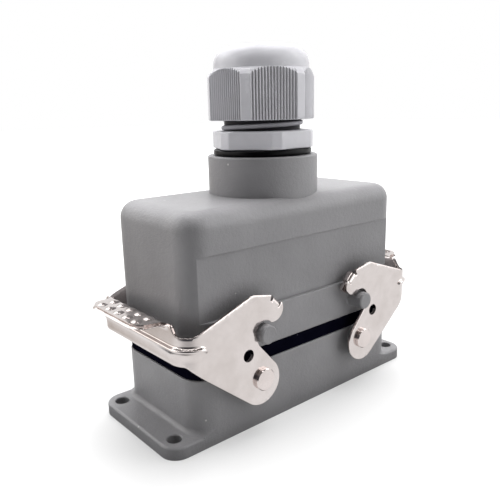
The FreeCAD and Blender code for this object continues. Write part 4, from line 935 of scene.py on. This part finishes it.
studio = {
    "left": {"turn": -90, "height": 0.3, "distance": 1.2, "side": 1.5, "power": 9.0, "mirrored": True},
    "right": {"turn": 84, "height": 0.3, "distance": 1.2, "side": 1.5, "power": 8.3, "mirrored": True},
    "top": {"turn": 175, "height": 1.35, "distance": 0.5, "side": 1.3, "power": 45.0, "mirrored": False},
    "aim": (0, 0, 0.06),
    "fill": 0.77,
    "grey": {"azimuth": 130, "reach": (0.45, 0.85), "colour": (0.56, 0.51, 0.47, 1)},
    "dark": {"azimuth": -140, "reach": (0.62, 0.92), "colour": (0.05, 0.05, 0.06, 1)},
    "dim": {"azimuth": -132, "reach": (-0.1, 0.85), "colour": (0.05, 0.05, 0.05, 1)},
    "ceiling": {"reach": (0.45, 0.62), "colour": (0.14, 0.125, 0.12, 1)},
    "backBox": {"way": (-0.142, 0.69, 0.708), "reach": (0.9, 0.94), "colour": (1.9, 1.9, 1.9, 1)},
    "tubes": {"tops": (64, 106), "half": 0.036, "soft": 0.016, "above": (0.35, 0.6),
              "colour": (5.0, 5.0, 5.0, 1)},
    # The floor dims its mirrored walls close to the object, a painted shadow, and glows faintly as a painted
    # bounce light.
    "floor": {"half": 4.0, "albedo": (0.4, 0.4, 0.4, 1), "bounce": 0.01, "glow": (0.42, 1.0),
              "glowReach": (0.25, 0.55), "paintedShadowDark": (0.05, 1.0), "paintedShadowReach": (0.004, 0.016),
              "footprint": (0.054, 0.0185, 0.0), "footprintEdge": (0, 0.0015), "clearHeight": 0.12},
}


def addLamp(name, s):
    # Square area lamp turned round the object from the camera's side, aimed at its middle.
    angle = facing + math.radians(s["turn"])
    place = Vector((s["distance"] * math.cos(angle), s["distance"] * math.sin(angle), s["height"]))
    data = bpy.data.lights.new(name, "AREA")
    data.shape = "RECTANGLE"
    data.size = data.size_y = s["side"]
    data.energy = s["power"]
    lamp = bpy.data.objects.new(name, data)
    lamp.location = place
    lamp.rotation_euler = (Vector(studio["aim"]) - place).to_track_quat("-Z", "Y").to_euler()
    lamp.visible_glossy = s["mirrored"]
    bpy.context.scene.collection.objects.link(lamp)


def makeRoom():
    # Surroundings by direction. Walls are white, with a grey and a dark side; Mirrored adds the ceiling and
    # the box to them; Fill is white with a dim side; Tubes is 1 high up in each plane that holds a tube.
    # Each mask is a smooth step of the cosine of the angle from its own direction, or of the direction's
    # height.
    group, give, take = newGroup("studioRoom", [("Direction", "Vector", None)], [
        ("Walls", "Color"), ("Mirrored", "Color"), ("Fill", "Color"), ("Tubes", "Float")])
    unit = joinNode(group, "VectorMath", give.outputs["Direction"], operation="NORMALIZE").outputs["Vector"]
    above = addNode(group, "SeparateXYZ", Vector=unit).outputs["Z"]

    def toward(way):
        return joinNode(group, "VectorMath", unit, way, operation="DOT_PRODUCT").outputs["Value"]

    def mask(value, reach):
        return addRange(group, value, reach, shape="SMOOTHSTEP")

    def tint(base, value, s):
        return mixColour(group, mask(value, s["reach"]), base, s["colour"])

    def side(base, s):
        turned = math.radians(s["azimuth"])
        return tint(base, toward((math.cos(turned), math.sin(turned), 0)), s)

    box, tubes = studio["backBox"], studio["tubes"]
    walls = side(side(white, studio["grey"]), studio["dark"])
    roofed = tint(walls, above, studio["ceiling"])
    lines = []
    for top in tubes["tops"]:
        tilt = math.radians(top)
        across = (-math.sin(tilt) * math.cos(facing), -math.sin(tilt) * math.sin(facing), math.cos(tilt))
        away = joinNode(group, "Math", toward(across), operation="ABSOLUTE").outputs[0]
        lines.append(mask(away, (tubes["half"], tubes["half"] - tubes["soft"])))
    both = joinNode(group, "Math", *lines, operation="ADD").outputs[0]
    lit = joinNode(group, "Math", both, mask(above, tubes["above"]), operation="MULTIPLY").outputs[0]
    feed(group, take.inputs["Walls"], walls)
    feed(group, take.inputs["Mirrored"], tint(roofed, toward(Vector(box["way"]).normalized()), box))
    feed(group, take.inputs["Fill"], side(white, studio["dim"]))
    feed(group, take.inputs["Tubes"], lit)
    return group


def addWorld(room):
    # White where it is seen, the room where it is mirrored, and a low fill for everything else.
    world = bpy.data.worlds.new("studioWorld")
    world.use_nodes = True
    bpy.context.scene.world = world
    tree = world.node_tree
    tree.nodes.clear()
    path = addNode(tree, "LightPath")
    place = addNode(tree, "TexCoord")
    around = addNode(tree, "Group", node_tree=room, Direction=place.outputs["Generated"])
    lit = mixColour(tree, around.outputs["Tubes"], around.outputs["Mirrored"], studio["tubes"]["colour"])
    fill = addNode(tree, "Background", Color=around.outputs["Fill"], Strength=studio["fill"])
    mirrored = addNode(tree, "Background", Color=lit, Strength=1.0)
    plain = addNode(tree, "Background", Color=white, Strength=1.0)
    glossy = joinNode(tree, "MixShader", path.outputs["Is Glossy Ray"], fill.outputs[0], mirrored.outputs[0])
    seen = joinNode(tree, "MixShader", path.outputs["Is Camera Ray"], glossy.outputs[0], plain.outputs[0])
    addNode(tree, "OutputWorld", Surface=seen.outputs[0])


def addFloor(room):
    # Pale floor that keeps the shadow. Seen by the camera, a glow that grows with the distance from the
    # object lifts it to white, with none inside the object's footprint; mirrored, it glows with the room's
    # walls, a painted reflection, dimmed close to the object by a painted shadow; for other rays it glows
    # faintly, a painted bounce light. The distance from the footprint is the length of max(|place| - half
    # size, 0).
    s = studio["floor"]
    w = s["half"]
    mesh = bpy.data.meshes.new("floor")
    mesh.from_pydata([(-w, -w, 0), (w, -w, 0), (w, w, 0), (-w, w, 0)], [], [(0, 1, 2, 3)])
    floor = bpy.data.objects.new("floor", mesh)
    bpy.context.scene.collection.objects.link(floor)
    material, tree, shader, place = newMaterial(
        "paleFloor", Base_Color=s["albedo"], Roughness=0.9, Specular_IOR_Level=0.0)

    def vector(operation, *entries):
        return joinNode(tree, "VectorMath", *entries, operation=operation)

    far = vector("LENGTH", place).outputs["Value"]
    beyond = vector("SUBTRACT", vector("ABSOLUTE", place).outputs[0], s["footprint"]).outputs[0]
    gap = vector("LENGTH", vector("MAXIMUM", beyond, (0, 0, 0)).outputs[0]).outputs["Value"]
    grow = addRange(tree, far, s["glowReach"], s["glow"], "SMOOTHSTEP")
    near = addRange(tree, gap, s["paintedShadowReach"], s["paintedShadowDark"], "SMOOTHSTEP")
    outside = addRange(tree, gap, s["footprintEdge"], shape="SMOOTHSTEP")
    shown = joinNode(tree, "Math", grow, outside, operation="MULTIPLY").outputs[0]
    lifted = vector("ADD", place, (0, 0, s["clearHeight"])).outputs[0]
    around = addNode(tree, "Group", node_tree=room, Direction=lifted)
    glow = addNode(tree, "Emission", Color=white, Strength=shown)
    # Painted bounce light: the floor glows faintly for rays that are neither the camera's nor mirrored.
    bounce = addNode(tree, "Emission", Color=white, Strength=s["bounce"])
    # Painted reflection and shadow: mirrored, the floor glows with the room's walls, dimmed close to the
    # object.
    mirrored = addNode(tree, "Emission", Color=around.outputs["Walls"], Strength=near)
    path = addNode(tree, "LightPath")
    pick = joinNode(tree, "MixShader", path.outputs["Is Camera Ray"], bounce.outputs[0], glow.outputs[0])
    both = joinNode(tree, "AddShader", shader.outputs[0], pick.outputs[0])
    glossy = joinNode(tree, "MixShader", path.outputs["Is Glossy Ray"], both.outputs[0], mirrored.outputs[0])
    feed(tree, tree.nodes["Material Output"].inputs["Surface"], glossy.outputs[0])
    mesh.materials.append(material)


addCamera()
for name in ("left", "right", "top"):
    addLamp(name + "Box", studio[name])
room = makeRoom()
addWorld(room)
addFloor(room)
bpy.context.scene.view_settings.view_transform = "Standard"
print("studio")
